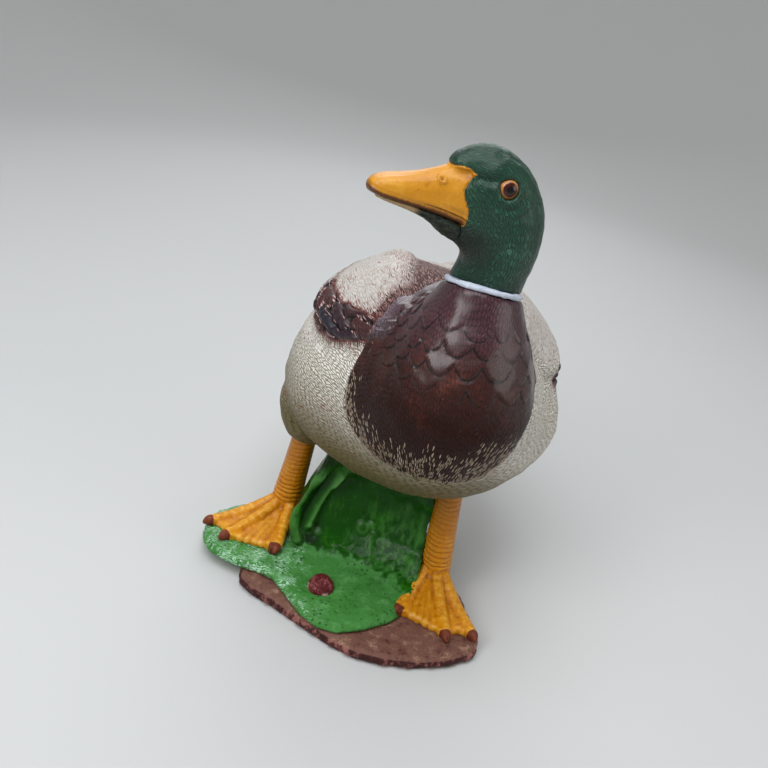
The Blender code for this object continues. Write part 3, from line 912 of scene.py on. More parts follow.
@dataclass(frozen=True)
class LeafPaint(Finish):
    """Glossy dark green leaves over a mint-green rough casting that is drybrushed paler; the leaves carry
    painted highlights on their ribs, a painted sheen and painted shade in their hollows, and the casting
    painted shade in its pinholes.
    """

    name: str = "leaf paint"
    coat: float = 0.14
    coat_roughness: float = 0.3
    specular: float = 0.1
    # The brush's turn on the pad, in degrees.
    brush_turn: float = 28.0

    def wire(self, w: Wiring) -> Look:
        """Wires the colour, the shine and the relief.

        Args:
            w: the nodes of the finish's material.

        Returns:
            What the shader takes.
        """
        place = w.place()
        flow = w.stretched(place, (1.0, 1.0, 0.3))
        shades = srgb(18, 74, 2), srgb(46, 120, 12), srgb(8, 40, 1)
        leaf, leaf_rough = self.laid(w, place, shades, 26.0, 0.34)
        leaf = w.blend(w.between(w.noise(flow, 0.2, 4.0), 0.56, 0.74, 0.0, 0.4), leaf, srgb(70, 124, 40))
        # Painted sheen: pale streaks on the bunch's +X side.
        sheen = w.stored("sheen") * w.between(w.noise(flow, 0.2, 3.0, 0.55), 0.44, 0.6)
        leaf = w.blend(sheen * 0.42, leaf, srgb(78, 142, 62))
        # Painted highlight on the raised ribs, rims, buds and seams.
        leaf = w.blend(w.stored("pale") * 0.85, leaf, srgb(92, 152, 76))
        # Painted shade in the hollow under the belly and between the front leaf's midrib and rim.
        leaf = w.blend(w.stored("deep"), leaf, srgb(12, 32, 10))
        grit = w.use(self.effects.grit, Vector=place, Size=2.6, Pit_share=0.13)
        shades = srgb(66, 128, 58), srgb(94, 154, 88), srgb(40, 92, 32)
        mint, mint_rough = self.laid(w, place, shades, 15.0, 0.5)
        turn = (0.0, 0.0, math.radians(self.brush_turn))
        slanted = w.node("ShaderNodeMapping", {"Vector": place, "Rotation": turn}, vector_type="POINT")
        brush, _ = self.combed(w, slanted, 5.0, 1.3, 1.2)
        crests = brush * 0.75 + grit["Height"] * 0.25
        worn = w.use(self.effects.drybrush, Height=crests, Vector=place, Base=mint, Crest=srgb(164, 204, 172),
                     Cover=w.stored("dry"), Patchiness=0.5)
        # Painted shade in the pinholes.
        pad = w.blend(grit["Pits"] * 0.6, worn["Color"], srgb(20, 56, 24))
        low = w.between(w.stored("mint"), -1.5, 1.5)
        height = w.noise(flow, 0.3, 4.0, 0.5) * (0.6 - low * 0.6) + grit["Height"] * low
        return Look(w.blend(low, leaf, pad), w.blend(low, leaf_rough, mint_rough), height, 1.0)


@dataclass(frozen=True)
class EarthPaint(Finish):
    """Mauve-brown earth with a dark red gravelly edge, and painted shade in its pinholes."""

    name: str = "earth paint"

    def wire(self, w: Wiring) -> Look:
        """Wires the colour, the shine and the relief.

        Args:
            w: the nodes of the finish's material.

        Returns:
            What the shader takes.
        """
        place = w.place()
        grit = w.use(self.effects.grit, Vector=place, Size=2.2, Pit_share=0.08)
        shades = srgb(116, 78, 66), srgb(166, 130, 106), srgb(74, 34, 30)
        earth, rough = self.laid(w, place, shades, 11.0, 0.55)
        red = w.use(self.effects.drybrush, Height=grit["Height"], Vector=place, Base=srgb(58, 22, 20),
                    Crest=srgb(150, 92, 84), Cover=0.42, Patchiness=0.6)
        edge = w.stored("edge") + w.ragged(place, 0.25, 0.8)
        colour = w.blend(w.between(edge, 0.35, 0.65), earth, red["Color"])
        # Painted shade in the pinholes.
        return Look(w.blend(grit["Pits"] * 0.7, colour, srgb(44, 26, 22)), rough, grit["Height"], 1.4)


@dataclass(frozen=True)
class BerryPaint(Finish):
    """Dark red grains with pale tops."""

    name: str = "berry paint"

    def wire(self, w: Wiring) -> Look:
        """Wires the colour, the shine and the relief.

        Args:
            w: the nodes of the finish's material.

        Returns:
            What the shader takes.
        """
        place = w.place()
        grit = w.use(self.effects.grit, Vector=place, Size=1.7, Pit_share=0.15)
        worn = w.use(self.effects.drybrush, Height=grit["Height"], Vector=place, Base=srgb(90, 22, 26),
                     Crest=srgb(164, 92, 92), Cover=0.34, Patchiness=0.5)
        colour = w.blend(w.stored("pale") * 0.8, worn["Color"], srgb(204, 186, 180))
        return Look(colour, 0.5 + grit["Pits"] * 0.2, grit["Height"], 1.0)


@dataclass(frozen=True)
class CurlPaint(Finish):
    """The tail curl's near-black brown."""

    name: str = "tail curl paint"
    coat: float = 0.2

    def wire(self, w: Wiring) -> Look:
        """Wires the colour, the shine and the relief.

        Args:
            w: the nodes of the finish's material.

        Returns:
            What the shader takes.
        """
        place = w.place()
        strokes, _ = self.combed(w, place, 7.0, 1.2, 2.0)
        shades = srgb(54, 36, 36), srgb(92, 70, 68), srgb(26, 16, 16)
        brown, rough = self.laid(w, place, shades, 12.0, 0.42)
        worn = w.use(self.effects.drybrush, Height=strokes, Vector=place, Base=brown,
                     Crest=srgb(150, 130, 126), Cover=0.18, Patchiness=0.5)
        return Look(worn["Color"], rough, strokes, 0.3)


# ---------------------------------------------------------------------------
# Sculpting tools


def smoothstep(values: np.ndarray, low: float, high: float) -> np.ndarray:
    """0 at low, 1 at high, eased between."""
    t = np.clip((values - low) / (high - low), 0.0, 1.0)
    return t * t * (3 - 2 * t)


def fade(values: np.ndarray, low: float, high: float) -> np.ndarray:
    """1 at low, 0 at high, eased between."""
    return 1 - smoothstep(values, low, high)


def bell(distance: np.ndarray, width: float) -> np.ndarray:
    """1 at distance 0, falling away to both sides over a width."""
    return np.exp(-(distance / width) ** 2)


def profile(at: np.ndarray, line: Sequence[tuple[float, float]]) -> np.ndarray:
    """A line's height at each place along it."""
    return np.interp(at, *np.array(line).T)


def lattice_noise(points: np.ndarray, size: float, seed: int) -> np.ndarray:
    """Smooth noise between -1 and 1.

    Args:
        points: places in mm, one row each.
        size: the noise's grain in mm.
        seed: which noise.

    Returns:
        One value for each point.
    """
    scaled = points / size + seed * 17.31
    base = np.floor(scaled).astype(np.int64)
    local = scaled - base
    local = local * local * (3 - 2 * local)
    total = np.zeros(len(points))
    for corner in range(8):
        step = np.array([corner >> 2 & 1, corner >> 1 & 1, corner & 1])
        x, y, z = (base + step).T
        mixed = (x * 73856093) ^ (y * 19349663) ^ (z * 83492791) ^ (seed * 2654435761)
        mixed = (mixed ^ (mixed >> 13)) * 1274126177
        value = ((mixed >> 8) & 0xFFFF) / 32767.5 - 1
        total += value * np.prod(np.where(step == 1, local, 1 - local), axis=1)
    return total


def tile_edges(across: np.ndarray, along: np.ndarray, bow: float) -> tuple[np.ndarray, np.ndarray]:
    """How far each point is above its feather's tip and below the one that covers it, in feathers.

    Args:
        across: place across the rows, in feathers.
        along: place towards the tips, in feathers.
        bow: how far a tip reaches past its row's sides.

    Returns:
        The distances to the own tip and from the covering tip.
    """
    row = np.floor(along)

    def edge(number: np.ndarray) -> np.ndarray:
        """The tip line of a row."""
        off = np.mod(across + 0.5 * np.mod(number, 2), 1.0) - 0.5
        return number + bow * (1 - 4 * off * off)

    own = edge(row)
    past = along > own
    covering = np.where(past, own, edge(row - 1))
    tip = np.where(past, edge(row + 1), own)
    return tip - along, along - covering


def line_distance(points: np.ndarray, line: Sequence[Sequence[float]]) -> np.ndarray:
    """How far each point is from a line through several places.

    Args:
        points: places in mm.
        line: the line's own places in mm.

    Returns:
        The distances in mm.
    """
    stops = np.array(line, float)
    best = np.full(len(points), 1e9)
    for start, end in zip(stops, stops[1:]):
        run = end - start
        t = np.clip((points - start) @ run / (run @ run), 0.0, 1.0)
        best = np.minimum(best, np.linalg.norm(points - start - t[:, None] * run, axis=1))
    return best


class Clay:
    """A piece's surface as arrays in mm, for pushing it about and marking it."""

    def __init__(self, piece: bpy.types.Object) -> None:
        """Reads the piece."""
        self.mesh = piece.data
        self.read()

    def read(self) -> None:
        """Reads the points and their normals."""
        self.points = self._triples(self.mesh.vertices, "co") / MM
        self.normals = self._triples(self.mesh.vertex_normals, "vector")

    def _triples(self, rows: bpy.types.bpy_prop_collection, name: str) -> np.ndarray:
        """One property of every point, one row each.

        Args:
            rows: the mesh's vertices or normals.
            name: the property's name.

        Returns:
            An array with three columns.
        """
        flat = np.empty(len(self.mesh.vertices) * 3, np.float32)
        rows.foreach_get(name, flat)
        return flat.reshape(-1, 3).astype(float)

    def push(self, amount: np.ndarray) -> None:
        """Moves the points along their normals by some mm and reads them again."""
        self.shift(self.normals * amount[:, None])

    def shift(self, move: np.ndarray) -> None:
        """Moves the points by some mm and reads them again.

        Args:
            move: how far each point moves along X, Y and Z.
        """
        self.mesh.vertices.foreach_set("co", ((self.points + move) * MM).astype(np.float32).ravel())
        self.mesh.update()
        self.read()

    def mark(self, name: str, values: np.ndarray) -> None:
        """Stores a value at each point."""
        attribute = self.mesh.attributes.new(name, "FLOAT", "POINT")
        attribute.data.foreach_set("value", values.astype(np.float32))

    @property
    def x(self) -> np.ndarray:
        """The points' X in mm."""
        return self.points[:, 0]

    @property
    def y(self) -> np.ndarray:
        """The points' Y in mm."""
        return self.points[:, 1]

    @property
    def z(self) -> np.ndarray:
        """The points' Z in mm."""
        return self.points[:, 2]

    @property
    def facing_up(self) -> np.ndarray:
        """1 where the surface faces up, -1 where it faces down."""
        return self.normals[:, 2]

    def lattice(self, size: float, seed: int) -> np.ndarray:
        """Smooth noise at the points."""
        return lattice_noise(self.points, size, seed)

    def hollows(self, rounds: int) -> np.ndarray:
        """How deep each point lies in a hollow, in mm; below 0 on a ridge.

        Args:
            rounds: how many times the neighbours are averaged, which sets the hollows' size.

        Returns:
            One value for each point.
        """
        flat = np.empty(len(self.mesh.edges) * 2, np.int32)
        self.mesh.edges.foreach_get("vertices", flat)
        ends = flat.reshape(-1, 2)
        starts = np.concatenate((ends[:, 0], ends[:, 1]))
        others = np.concatenate((ends[:, 1], ends[:, 0]))
        count = np.maximum(np.bincount(starts, minlength=len(self.points)), 1)
        even = self.points
        for _ in range(rounds):
            sums = [np.bincount(starts, part[others], len(part)) for part in even.T]
            even = np.stack(sums, axis=1) / count[:, None]
        return np.einsum("ij,ij->i", even - self.points, self.normals)


def dress(piece: bpy.types.Object, material: bpy.types.Material, slot: Slot, *nodes: str) -> bpy.types.Object:
    """Finishes a piece: its paint, its body and the nodes it stands for.

    Args:
        piece: the piece.
        material: its paint.
        slot: the record's paint slot; it is not used.
        nodes: the frame nodes it stands for.

    Returns:
        The piece.
    """
    piece.data.materials.clear()
    piece.data.materials.append(material)
    for face in piece.data.polygons:
        face.use_smooth = True
    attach(piece, BODY)
    if nodes:
        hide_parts(*nodes)
    stands_for = ", ".join(nodes) or "nothing"
    log.info("%s: %d faces, stands for %s", piece.name, len(piece.data.polygons), stands_for)
    return piece


def link(name: str, bm: bmesh.types.BMesh) -> bpy.types.Object:
    """Makes an object of a mesh in the making.

    Args:
        name: the object's name.
        bm: the mesh in the making, which is freed.

    Returns:
        The object.
    """
    mesh = bpy.data.meshes.new(name)
    bm.to_mesh(mesh)
    bm.free()
    piece = bpy.data.objects.new(name, mesh)
    bpy.context.scene.collection.objects.link(piece)
    return piece


def settled(piece: bpy.types.Object) -> bpy.types.Object:
    """Takes a piece's modifiers into its mesh.

    Args:
        piece: the piece.

    Returns:
        The piece, without modifiers.
    """
    graph = bpy.context.evaluated_depsgraph_get()
    mesh = bpy.data.meshes.new_from_object(piece.evaluated_get(graph))
    piece.modifiers.clear()
    old = piece.data
    piece.data = mesh
    bpy.data.meshes.remove(old)
    mesh.name = piece.name
    return piece


@dataclass(frozen=True)
class Cast:
    """One closed skin over one or more frame nodes, as the mould would give it; sizes in mm."""

    name: str
    nodes: tuple[str, ...]
    voxel: float
    swell: float
    rounds: int

    def pour(self, extra: Iterable[bmesh.types.BMesh] = ()) -> bpy.types.Object:
        """Merges copies of the nodes into one skin.

        Args:
            extra: more closed shapes to take in.

        Returns:
            The skin's object.
        """
        whole = bmesh.new()
        for node in self.nodes:
            part = bmesh.new()
            part.from_mesh(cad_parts[node].data)
            bmesh.ops.remove_doubles(part, verts=part.verts, dist=SAME_POINT)
            part.normal_update()
            for vert, normal in [(v, v.normal.copy()) for v in part.verts]:
                vert.co += normal * self.swell * MM
            self._take(whole, part)
        for part in extra:
            self._take(whole, part)
        piece = link(self.name, whole)
        remesh = piece.modifiers.new("skin", "REMESH")
        remesh.mode = "VOXEL"
        remesh.voxel_size = self.voxel * MM
        smooth = piece.modifiers.new("smooth", "SMOOTH")
        smooth.factor = 0.5
        smooth.iterations = self.rounds
        return settled(piece)

    @staticmethod
    def _take(whole: bmesh.types.BMesh, part: bmesh.types.BMesh) -> None:
        """Adds one shape to the whole and frees it.

        Args:
            whole: the bmesh that gathers the shapes.
            part: the shape to add.
        """
        mesh = bpy.data.meshes.new("part")
        part.to_mesh(mesh)
        part.free()
        whole.from_mesh(mesh)
        bpy.data.meshes.remove(mesh)


@dataclass
class Moulded:
    """A piece that is cast over its nodes, carved and painted."""

    effects: Effects
    mould: Cast
    finish: type[Finish]
    slot: Slot

    def carve(self, clay: Clay) -> None:
        """Carves the skin and marks its paint; the plainest piece needs neither."""

    def build(self) -> bpy.types.Object:
        """Builds the piece.

        Returns:
            Its object.
        """
        piece = self.mould.pour()
        self.carve(Clay(piece))
        return dress(piece, self.finish(self.effects).build(), self.slot, *self.mould.nodes)


# ---------------------------------------------------------------------------
# The duck


@dataclass
class Body(Moulded):
    """Trunk, breast, wings and tail in one skin, with carved feathers and the paints' borders."""

    mould: Cast = Cast("body", ("trunk", "breast", "wing_left", "wing_right", "tail"), 1.8, 0.4, 26)
    finish: type[Finish] = Plumage
    slot: Slot = Slot.CREAM
    # The chestnut is measured round the heart, from the way the breast faces.
    heart: tuple[float, float, float] = (0.0, -15.0, 225.0)
    facing: tuple[float, float, float] = (-0.22, -0.97, 0.10)
    # How far it reaches from the middle of the breast, in degrees, every 30 degrees round from the
    # top over the duck's right side.
    reach: tuple[float, ...] = (104, 86, 60, 63, 60, 44, 34, 38, 38, 47, 58, 86)
    arm: float = 100.0
    # The dark coverts' middle as Y and height on the right side, and half their band's width.
    covert_line: tuple[tuple[float, float], ...] = (
        (-44, 260), (-26, 247), (-6, 239), (18, 236), (44, 237), (66, 240))
    covert_half: float = 14.0
    covert_width: float = 24.0
    covert_drop: float = 8.5
    # The mantle's half width along the back.
    mantle_line: tuple[tuple[float, float], ...] = (
        (-60, 50), (-12, 48), (7, 39), (54, 26), (90, 16), (122, 0), (260, -60))
    feather_drop: float = 8.5
    # How the strokes on the sides lean, and how the trunk is turned about its pivot, in degrees.
    slant: float = 4.0
    swing: float = 4.0
    pivot: float = -61.0

    def straightened(self, points: np.ndarray) -> tuple[np.ndarray, np.ndarray]:
        """The points' X and Y with the body's swing taken out.

        Args:
            points: places in mm.

        Returns:
            X and Y in mm.
        """
        turn = math.radians(self.swing)
        x, y = points[:, 0], points[:, 1] - self.pivot
        return x * math.cos(turn) - y * math.sin(turn), x * math.sin(turn) + y * math.cos(turn) + self.pivot

    def wing_edges(self) -> tuple[np.ndarray, np.ndarray, np.ndarray]:
        """Reads the wings' lower and upper edges from the frame.

        Returns:
            Places along the body and the edges' heights there, in mm.
        """
        wings = [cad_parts[f"wing_{side.name.lower()}"].data for side in Side]
        points = np.concatenate([np.array([v.co for v in wing.vertices]) for wing in wings]) / MM
        _, along = self.straightened(points)
        stops = np.arange(-36.0, 212.0, 16.0)
        near = [points[np.abs(along - stop) < 12.0, 2] for stop in stops]
        return stops, np.array([z.min() for z in near]), np.array([z.max() for z in near])

    def flight(self, clay: Clay) -> np.ndarray:
        """Carves the long wing feathers and marks their paint and the blue bar's.

        Args:
            clay: the skin.

        Returns:
            The relief in mm.
        """
        flat_x, flat_y = self.straightened(clay.points)
        stops, low, top = self.wing_edges()
        above = clay.z - np.interp(flat_y, stops, low)
        below_top = np.interp(flat_y, stops, top) - clay.z
        strip = (above + 1.6 * clay.lattice(24, 41)) / self.feather_drop
        part = np.mod(strip, 1.0)
        end = 214.0 - 15.0 * np.clip(np.floor(strip), 0, 4) - 16.0 * np.abs(part - 0.5)
        inside = np.minimum(np.minimum(above + 1.0, 34.0 - above), np.minimum(flat_y - 66.0, end - flat_y))
        inside = np.minimum(np.minimum(inside, below_top), np.abs(flat_x) - 9.0)
        clay.mark("flight", inside)
        clay.mark("strip", strip)
        slant = flat_y - 0.7 * above
        bar = np.minimum(np.minimum(above - 3.0, 17.5 - above), np.minimum(slant - 72.0, 112.0 - slant))
        clay.mark("speculum", bar)
        relief = (1.3 * part - 1.2 * fade(np.minimum(part, 1 - part), 0.0, 0.12)) * smoothstep(inside, -1, 3)
        return relief - 1.6 * bell(above + 1.5, 1.6) * smoothstep(flat_y, 50, 70) * (flat_y < 216)

    def tail(self, clay: Clay) -> np.ndarray:
        """Carves the tail's fan of feathers behind the dark rump and marks both.

        Args:
            clay: the skin.

        Returns:
            The relief in mm.
        """
        flat_x, flat_y = self.straightened(clay.points)
        reach = np.clip((flat_y - 188.0) / 66.0, 0, 1)
        fan = np.mod(flat_x / (40.0 - 10.0 * reach) * 3.5 + 0.5, 1.0)
        on_tail = smoothstep(flat_y, 218, 226)
        grooves = fade(np.minimum(fan, 1 - fan), 0.0, 0.1)
        clay.mark("tail_fan", np.clip(grooves * on_tail, 0, 1))
        clay.mark("rump", np.minimum(flat_y - 194.0 - 0.2 * np.abs(flat_x), 224.0 - flat_y))
        return (0.9 * np.sin(math.pi * fan) - 0.9 * grooves) * on_tail

    def breast(self, clay: Clay) -> tuple[np.ndarray, np.ndarray, np.ndarray]:
        """Places the points on the breast.

        Args:
            clay: the skin.

        Returns:
            How far inside the chestnut they are, and their places across and down, in mm.
        """
        axis = np.array(self.facing) / np.linalg.norm(self.facing)
        top = np.array((0.0, 0.0, 1.0)) - axis * axis[2]
        top /= np.linalg.norm(top)
        out = clay.points - np.array(self.heart)
        ahead, over, beside = out @ axis, out @ top, out @ np.cross(axis, top)
        angle = np.degrees(np.arctan2(np.hypot(over, beside), ahead))
        turn = np.degrees(np.arctan2(beside, over)) % 360
        slots = np.append(self.reach, self.reach[0])
        steps = np.linspace(0.0, 360.0, len(slots))
        # Three readings a few degrees apart round the outline's corners off.
        reach = sum(np.interp((turn + offset) % 360, steps, slots) for offset in (0.0, -10.0, 10.0)) / 3
        across = np.arctan2(beside, ahead) * self.arm
        down = -np.arctan2(over, np.hypot(ahead, beside)) * self.arm
        return (reach - angle) * math.pi / 180 * self.arm, across, down

    def scallops(self, clay: Clay, patch: np.ndarray, across: np.ndarray, down: np.ndarray) -> np.ndarray:
        """Carves the breast's feathers and marks them.

        Args:
            clay: the skin.
            patch: how far inside the chestnut the points are, in mm.
            across: their places across the breast, in mm.
            down: their places down the breast, in mm.

        Returns:
            The relief in mm.
        """
        chance = np.clip(0.76 + 0.62 * clay.lattice(19, 8), 0, 1)
        shown = chance * smoothstep(-down, -6, 18) * smoothstep(patch, 10, 26) * fade(clay.z, 278, 294)
        tip, gap = tile_edges(across / SCALLOP_WIDTH, down / SCALLOP_DROP, SCALLOP_BOW)
        lift = 1.2 * smoothstep(1.1 - tip, 0.0, 1.0) - 0.7 * fade(gap, 0.0, 0.13)
        lumpy = 0.5 * clay.lattice(13, 5) + 0.22 * clay.lattice(6.5, 9)
        clay.mark("breast_across", across)
        clay.mark("breast_down", down)
        clay.mark("scallop", shown)
        return lift * shown + lumpy * smoothstep(patch, 0, 10)

    def coverts(self, clay: Clay) -> tuple[np.ndarray, np.ndarray, np.ndarray]:
        """Carves the lumpy coverts at the wing's lower front corner and marks them.

        Args:
            clay: the skin.

        Returns:
            The relief, how far inside their band the points are, and the band's middle height, in mm.
        """
        left = clay.x > 0
        line = np.array(self.covert_line)
        middle = profile(clay.y, line) - 24.0 * left
        ends = np.minimum(clay.y - line[0, 0] - 30.0 * left, line[-1, 0] + 8.0 - clay.y)
        centre, half = np.where(left, 33.0, 12.0), np.where(left, 50.0, 64.0)
        taper = np.sqrt(np.clip(1 - ((clay.y - centre) / half) ** 2, 0.0, 1.0))
        over = clay.z - middle
        cluster = np.minimum(self.covert_half * taper + 2.0 * clay.lattice(12, 15) - np.abs(over), ends)
        cluster = np.where(np.abs(clay.x) > 34, cluster, -30.0)
        across = clay.y * 0.85 - over * 0.6 + 5 * clay.lattice(15, 12) + 2 * clay.lattice(6, 17)
        down = (clay.y * 0.2 - over + 5 * clay.lattice(17, 13) + 2 * clay.lattice(6, 18)) / self.covert_drop
        row = np.floor(down)
        cell = across / self.covert_width + 0.5 * row
        lump = 1 - (2 * np.mod(cell, 1.0) - 1) ** 2 - (2 * np.mod(down, 1.0) - 1) ** 2
        clay.mark("cluster", cluster)
        clay.mark("lump", lump)
        clay.mark("lump_chance", np.mod(np.sin(np.floor(cell) * 12.9 + row * 78.2) * 43758.5, 1.0))
        bulge = 4.2 * np.sqrt(np.clip(lump + 0.15, 0, 1.15)) - 1.6 + 0.9 * clay.lattice(5, 14)
        return bulge * smoothstep(cluster, -2, 4), cluster, middle

    def mark_strokes(self, clay: Clay) -> None:
        """Marks how the combed strokes run on the sides and the back, and where each kind lies.

        Args:
            clay: the skin's points.
        """
        lean = math.radians(self.slant)
        across_side = np.array((0.0, -math.sin(lean), math.cos(lean)))
        along_side = np.array((0.0, math.cos(lean), math.sin(lean)))
        out = clay.points - np.array((0.0, 30.0, 215.0))
        clay.mark("side_across", clay.points @ across_side)
        clay.mark("side_along", 105.0 * np.arctan2(out[:, 0], -(out @ along_side)))
        clay.mark("back_across", 90.0 * np.arctan2(out[:, 0], np.abs(clay.z - 205.0) + 5.0))
        tilt = np.abs(clay.normals @ np.array((0.0, -0.62, 0.79)))
        over = np.maximum(smoothstep(clay.facing_up, 0.35, 0.7), smoothstep(tilt, 0.62, 0.82))
        clay.mark("over", np.maximum(over, smoothstep(clay.y, 190, 230)))
        # Where the skin faces down, for the cream's painted shade underneath.
        clay.mark("below", smoothstep(-clay.facing_up, 0.1, 0.8))

    def mark_mantle(self, clay: Clay, patch: np.ndarray, cluster: np.ndarray, side: np.ndarray) -> None:
        """Marks the brown mantle, and the red-brown hairs round it and round the coverts.

        Args:
            clay: the skin.
            patch: how far inside the chestnut the points are, in mm.
            cluster: how far inside the coverts they are, in mm.
            side: how far they are from the middle of the back, in mm.
        """
        mantle = np.maximum(profile(clay.y, self.mantle_line) - side, 22.0 + np.minimum(patch, 0))
        mantle = np.where(clay.z > 240, mantle, -30.0 + np.clip(clay.z - 234, 0, 6) * 4)
        clay.mark("mantle", mantle)
        near_dark = np.maximum(smoothstep(mantle, -26, 0), smoothstep(cluster, -15, 0))
        clay.mark("russet", np.clip(near_dark, 0, 1))

    def carve(self, clay: Clay) -> None:
        """Carves the feathers and marks the paints' borders.

        Args:
            clay: the skin's points.
        """
        patch, across, down = self.breast(clay)
        wavy_across = across + 4.5 * clay.lattice(26, 3) + 1.2 * clay.lattice(9, 6)
        wavy_down = down + 5.5 * clay.lattice(30, 4) + 1.2 * clay.lattice(9, 7)
        side = np.abs(clay.x)
        covert, cluster, middle = self.coverts(clay)
        relief = self.scallops(clay, patch, wavy_across, wavy_down) + covert
        relief = relief + 0.5 * clay.lattice(9, 21) * (patch < 0) + 0.35 * clay.lattice(30, 22)
        relief = relief + self.flight(clay) + self.tail(clay)
        self.mark_strokes(clay)
        clay.push(relief)
        self.mark_mantle(clay, patch, cluster, side)
        clay.mark("patch", patch)
        # The hairs at the breast's foot run out from a place below it.
        below = 135.0 - down
        clay.mark("tuft_along", np.hypot(across, below))
        clay.mark("tuft_across", 85.0 * np.arctan2(across, below))
        beside = 0.16 * smoothstep(across, 40, 60) * fade(patch, 8, 24)
        clay.mark("fringe", smoothstep(wavy_down, 4, 40) + beside)
        clay.mark("drip", 0.3 + 0.7 * smoothstep(middle - clay.z, -2, 8))
        clay.mark("covert_round", clay.y + side)


@dataclass
class Head:
    """Head, neck and upper bill, drawn as one skin so that the bill grows out of the face."""

    effects: Effects
    eye: tuple[float, float, float] = (-6.6, -58.0, 381.5)
    lid_radius: float = 8.6
    nostril: tuple[float, float] = (-49.5, 378.8)
    # The feather line on the cheek as height and X, and the forehead's and the lip's edges as X and height.
    cheek_line: tuple[tuple[float, float], ...] = (
        (348, -30), (357, -28.5), (364, -29.6), (370, -33), (375.5, -34.6), (380.5, -32.4), (385.5, -29.6),
        (389, -27))
    brow_line: tuple[tuple[float, float], ...] = (
        (-96, 430), (-58, 402), (-53, 390), (-48, 388.7), (-44, 388.6), (-38, 390.0), (-33, 389.4),
        (-29.5, 387), (-20, 386))
    lip_line: tuple[tuple[float, float], ...] = (
        (-97, 363), (-88, 360.2), (-78, 358.8), (-66, 357), (-54, 355.3), (-42, 353.2), (-30, 350.4))
    # The bend of the throat, which the head's strokes run round, as X and height.
    throat: tuple[float, float] = (-50.0, 335.0)
    # How far the paint's corner under the cheek is rounded, and the bill's wall, in mm.
    corner: float = 1.6
    wall: float = 1.4

    def feather_line(self, clay: Clay) -> np.ndarray:
        """How far the points are inside the bill's paint, in mm.

        Args:
            clay: the skin's points.

        Returns:
            One distance for each point, negative outside the paint.
        """
        cheek = profile(clay.z, self.cheek_line) - clay.x
        brow = profile(clay.x, self.brow_line) - clay.z
        lip = clay.z - profile(clay.x, self.lip_line) + 1.0
        sides = [np.exp(-np.clip(side, -60, 60) / self.corner) for side in (cheek, lip)]
        return np.minimum(-self.corner * np.log(sides[0] + sides[1]), brow)

    def carve_face(self, clay: Clay) -> None:
        """Raises the lids and the folds round them.

        Args:
            clay: the skin's points.
        """
        out = np.hypot((clay.x - self.eye[0]) / 1.04, clay.z - self.eye[2])
        turn = np.degrees(np.arctan2(clay.z - self.eye[2], clay.x - self.eye[0]))
        beside = smoothstep(np.abs(clay.y - self.eye[1]), 9, 14)
        ring = 0.66 * bell(out - self.lid_radius, 1.5)
        socket = -1.8 * fade(out, 4.5, 7.6)
        under = fade(turn, -30, 10) * smoothstep(turn, -150, -110)
        pouch = (0.7 * bell(out - 16.5, 2.5) - 0.9 * bell(out - 13.0, 1.5)) * under
        brow = 1.3 * bell(out - 15, 5.0) * smoothstep(turn, 10, 60) * fade(turn, 140, 178)
        flat = np.stack((clay.x, clay.z), axis=1)
        groove = -2.4 * bell(line_distance(flat, ((-27, 385.6), (-20, 385.2), (-14, 386.2))), 3.0)
        crown = 1.5 * bell(clay.x + 28, 18.0) * bell(clay.z - 406, 9.0)
        relief = (ring + socket + pouch + brow + groove) * beside + crown
        relief = relief + 0.3 * clay.lattice(6, 31) + 0.35 * clay.lattice(18, 32)
        clay.push(relief * smoothstep(-self.feather_line(clay), 0, 2))
        fill = 2.6 * bell(clay.z - 394.0, 7.0) * smoothstep(-clay.x, 30, 46)
        clay.shift(np.outer(fill, (-1.0, 0.0, 0.0)))

    def carve_bill(self, clay: Clay) -> None:
        """Cuts the nostrils, the lip groove and the crease along the top, and marks the brown places.

        Args:
            clay: the skin's points.
        """
        feather = self.feather_line(clay)
        on_bill = smoothstep(feather, -0.5, 1.0)
        beside = smoothstep(np.abs(clay.y - self.eye[1]), 4, 7)
        along, up = clay.x - self.nostril[0], clay.z - self.nostril[1]
        out = np.hypot(along / 1.45, up + 0.12 * along) * 1.35
        hole = -0.7 * fade(out, 0.2, 1.3)
        rim = 1.2 * bell(out - 2.3, 0.9) + 0.4 * bell(out, 4.5)
        lip = clay.z - profile(clay.x, self.lip_line)
        rear = smoothstep(clay.x, -70, -45)
        roll = -0.9 * bell(lip - 5.0, 1.0) * (0.4 + 0.6 * rear) + 0.6 * bell(lip - 2.6, 1.5)
        second = -0.6 * bell(lip - 8.8, 1.0) * smoothstep(clay.x, -52, -38)
        crease = 386.8 + 0.03 * (clay.x + 40)
        top = 0.5 * bell(clay.z - crease, 1.3) * smoothstep(clay.x, -50, -42)
        top = top - 0.7 * bell(clay.z - crease + 3.2, 1.8) * smoothstep(clay.x, -46, -36)
        top = top + 0.8 * smoothstep(-clay.x, 58, 86) * smoothstep(clay.facing_up, 0.2, 0.9)
        tip = np.hypot(clay.x + 96.5, (clay.z - 366.5) * 0.8)
        nail = -0.12 * bell(tip - 9.0, 0.8)
        relief = ((hole + rim + roll + second + top) * beside + nail) * on_bill
        relief = relief - 0.55 * bell(feather, 0.8) * (clay.x < -20) * smoothstep(lip, -1, 2)
        clay.push(relief + 0.12 * clay.lattice(6, 51) * on_bill)
        feather = self.feather_line(clay)
        # Brown along the lower edge: its own brown paint, widened and faded upward as painted shade under the
        # lip; the nail and the nostril are dark too.
        brown = 1.1 * fade(lip, 1.4, 5.4) + 0.45 * fade(np.abs(lip - 6.0), 0.2, 1.3) * rear
        brown = brown + 0.34 * fade(lip, 3.0, 15.0)
        brown = np.maximum(brown, 0.62 * fade(tip, 1.0, 6.0))
        brown = np.maximum(brown, 0.8 * fade(out, 0.4, 1.4) * beside)
        brown = np.maximum(brown, 0.45 * bell(out - 3.7, 0.7) * beside)
        clay.mark("feather", feather)
        clay.mark("brown", np.clip(brown, 0, 1))

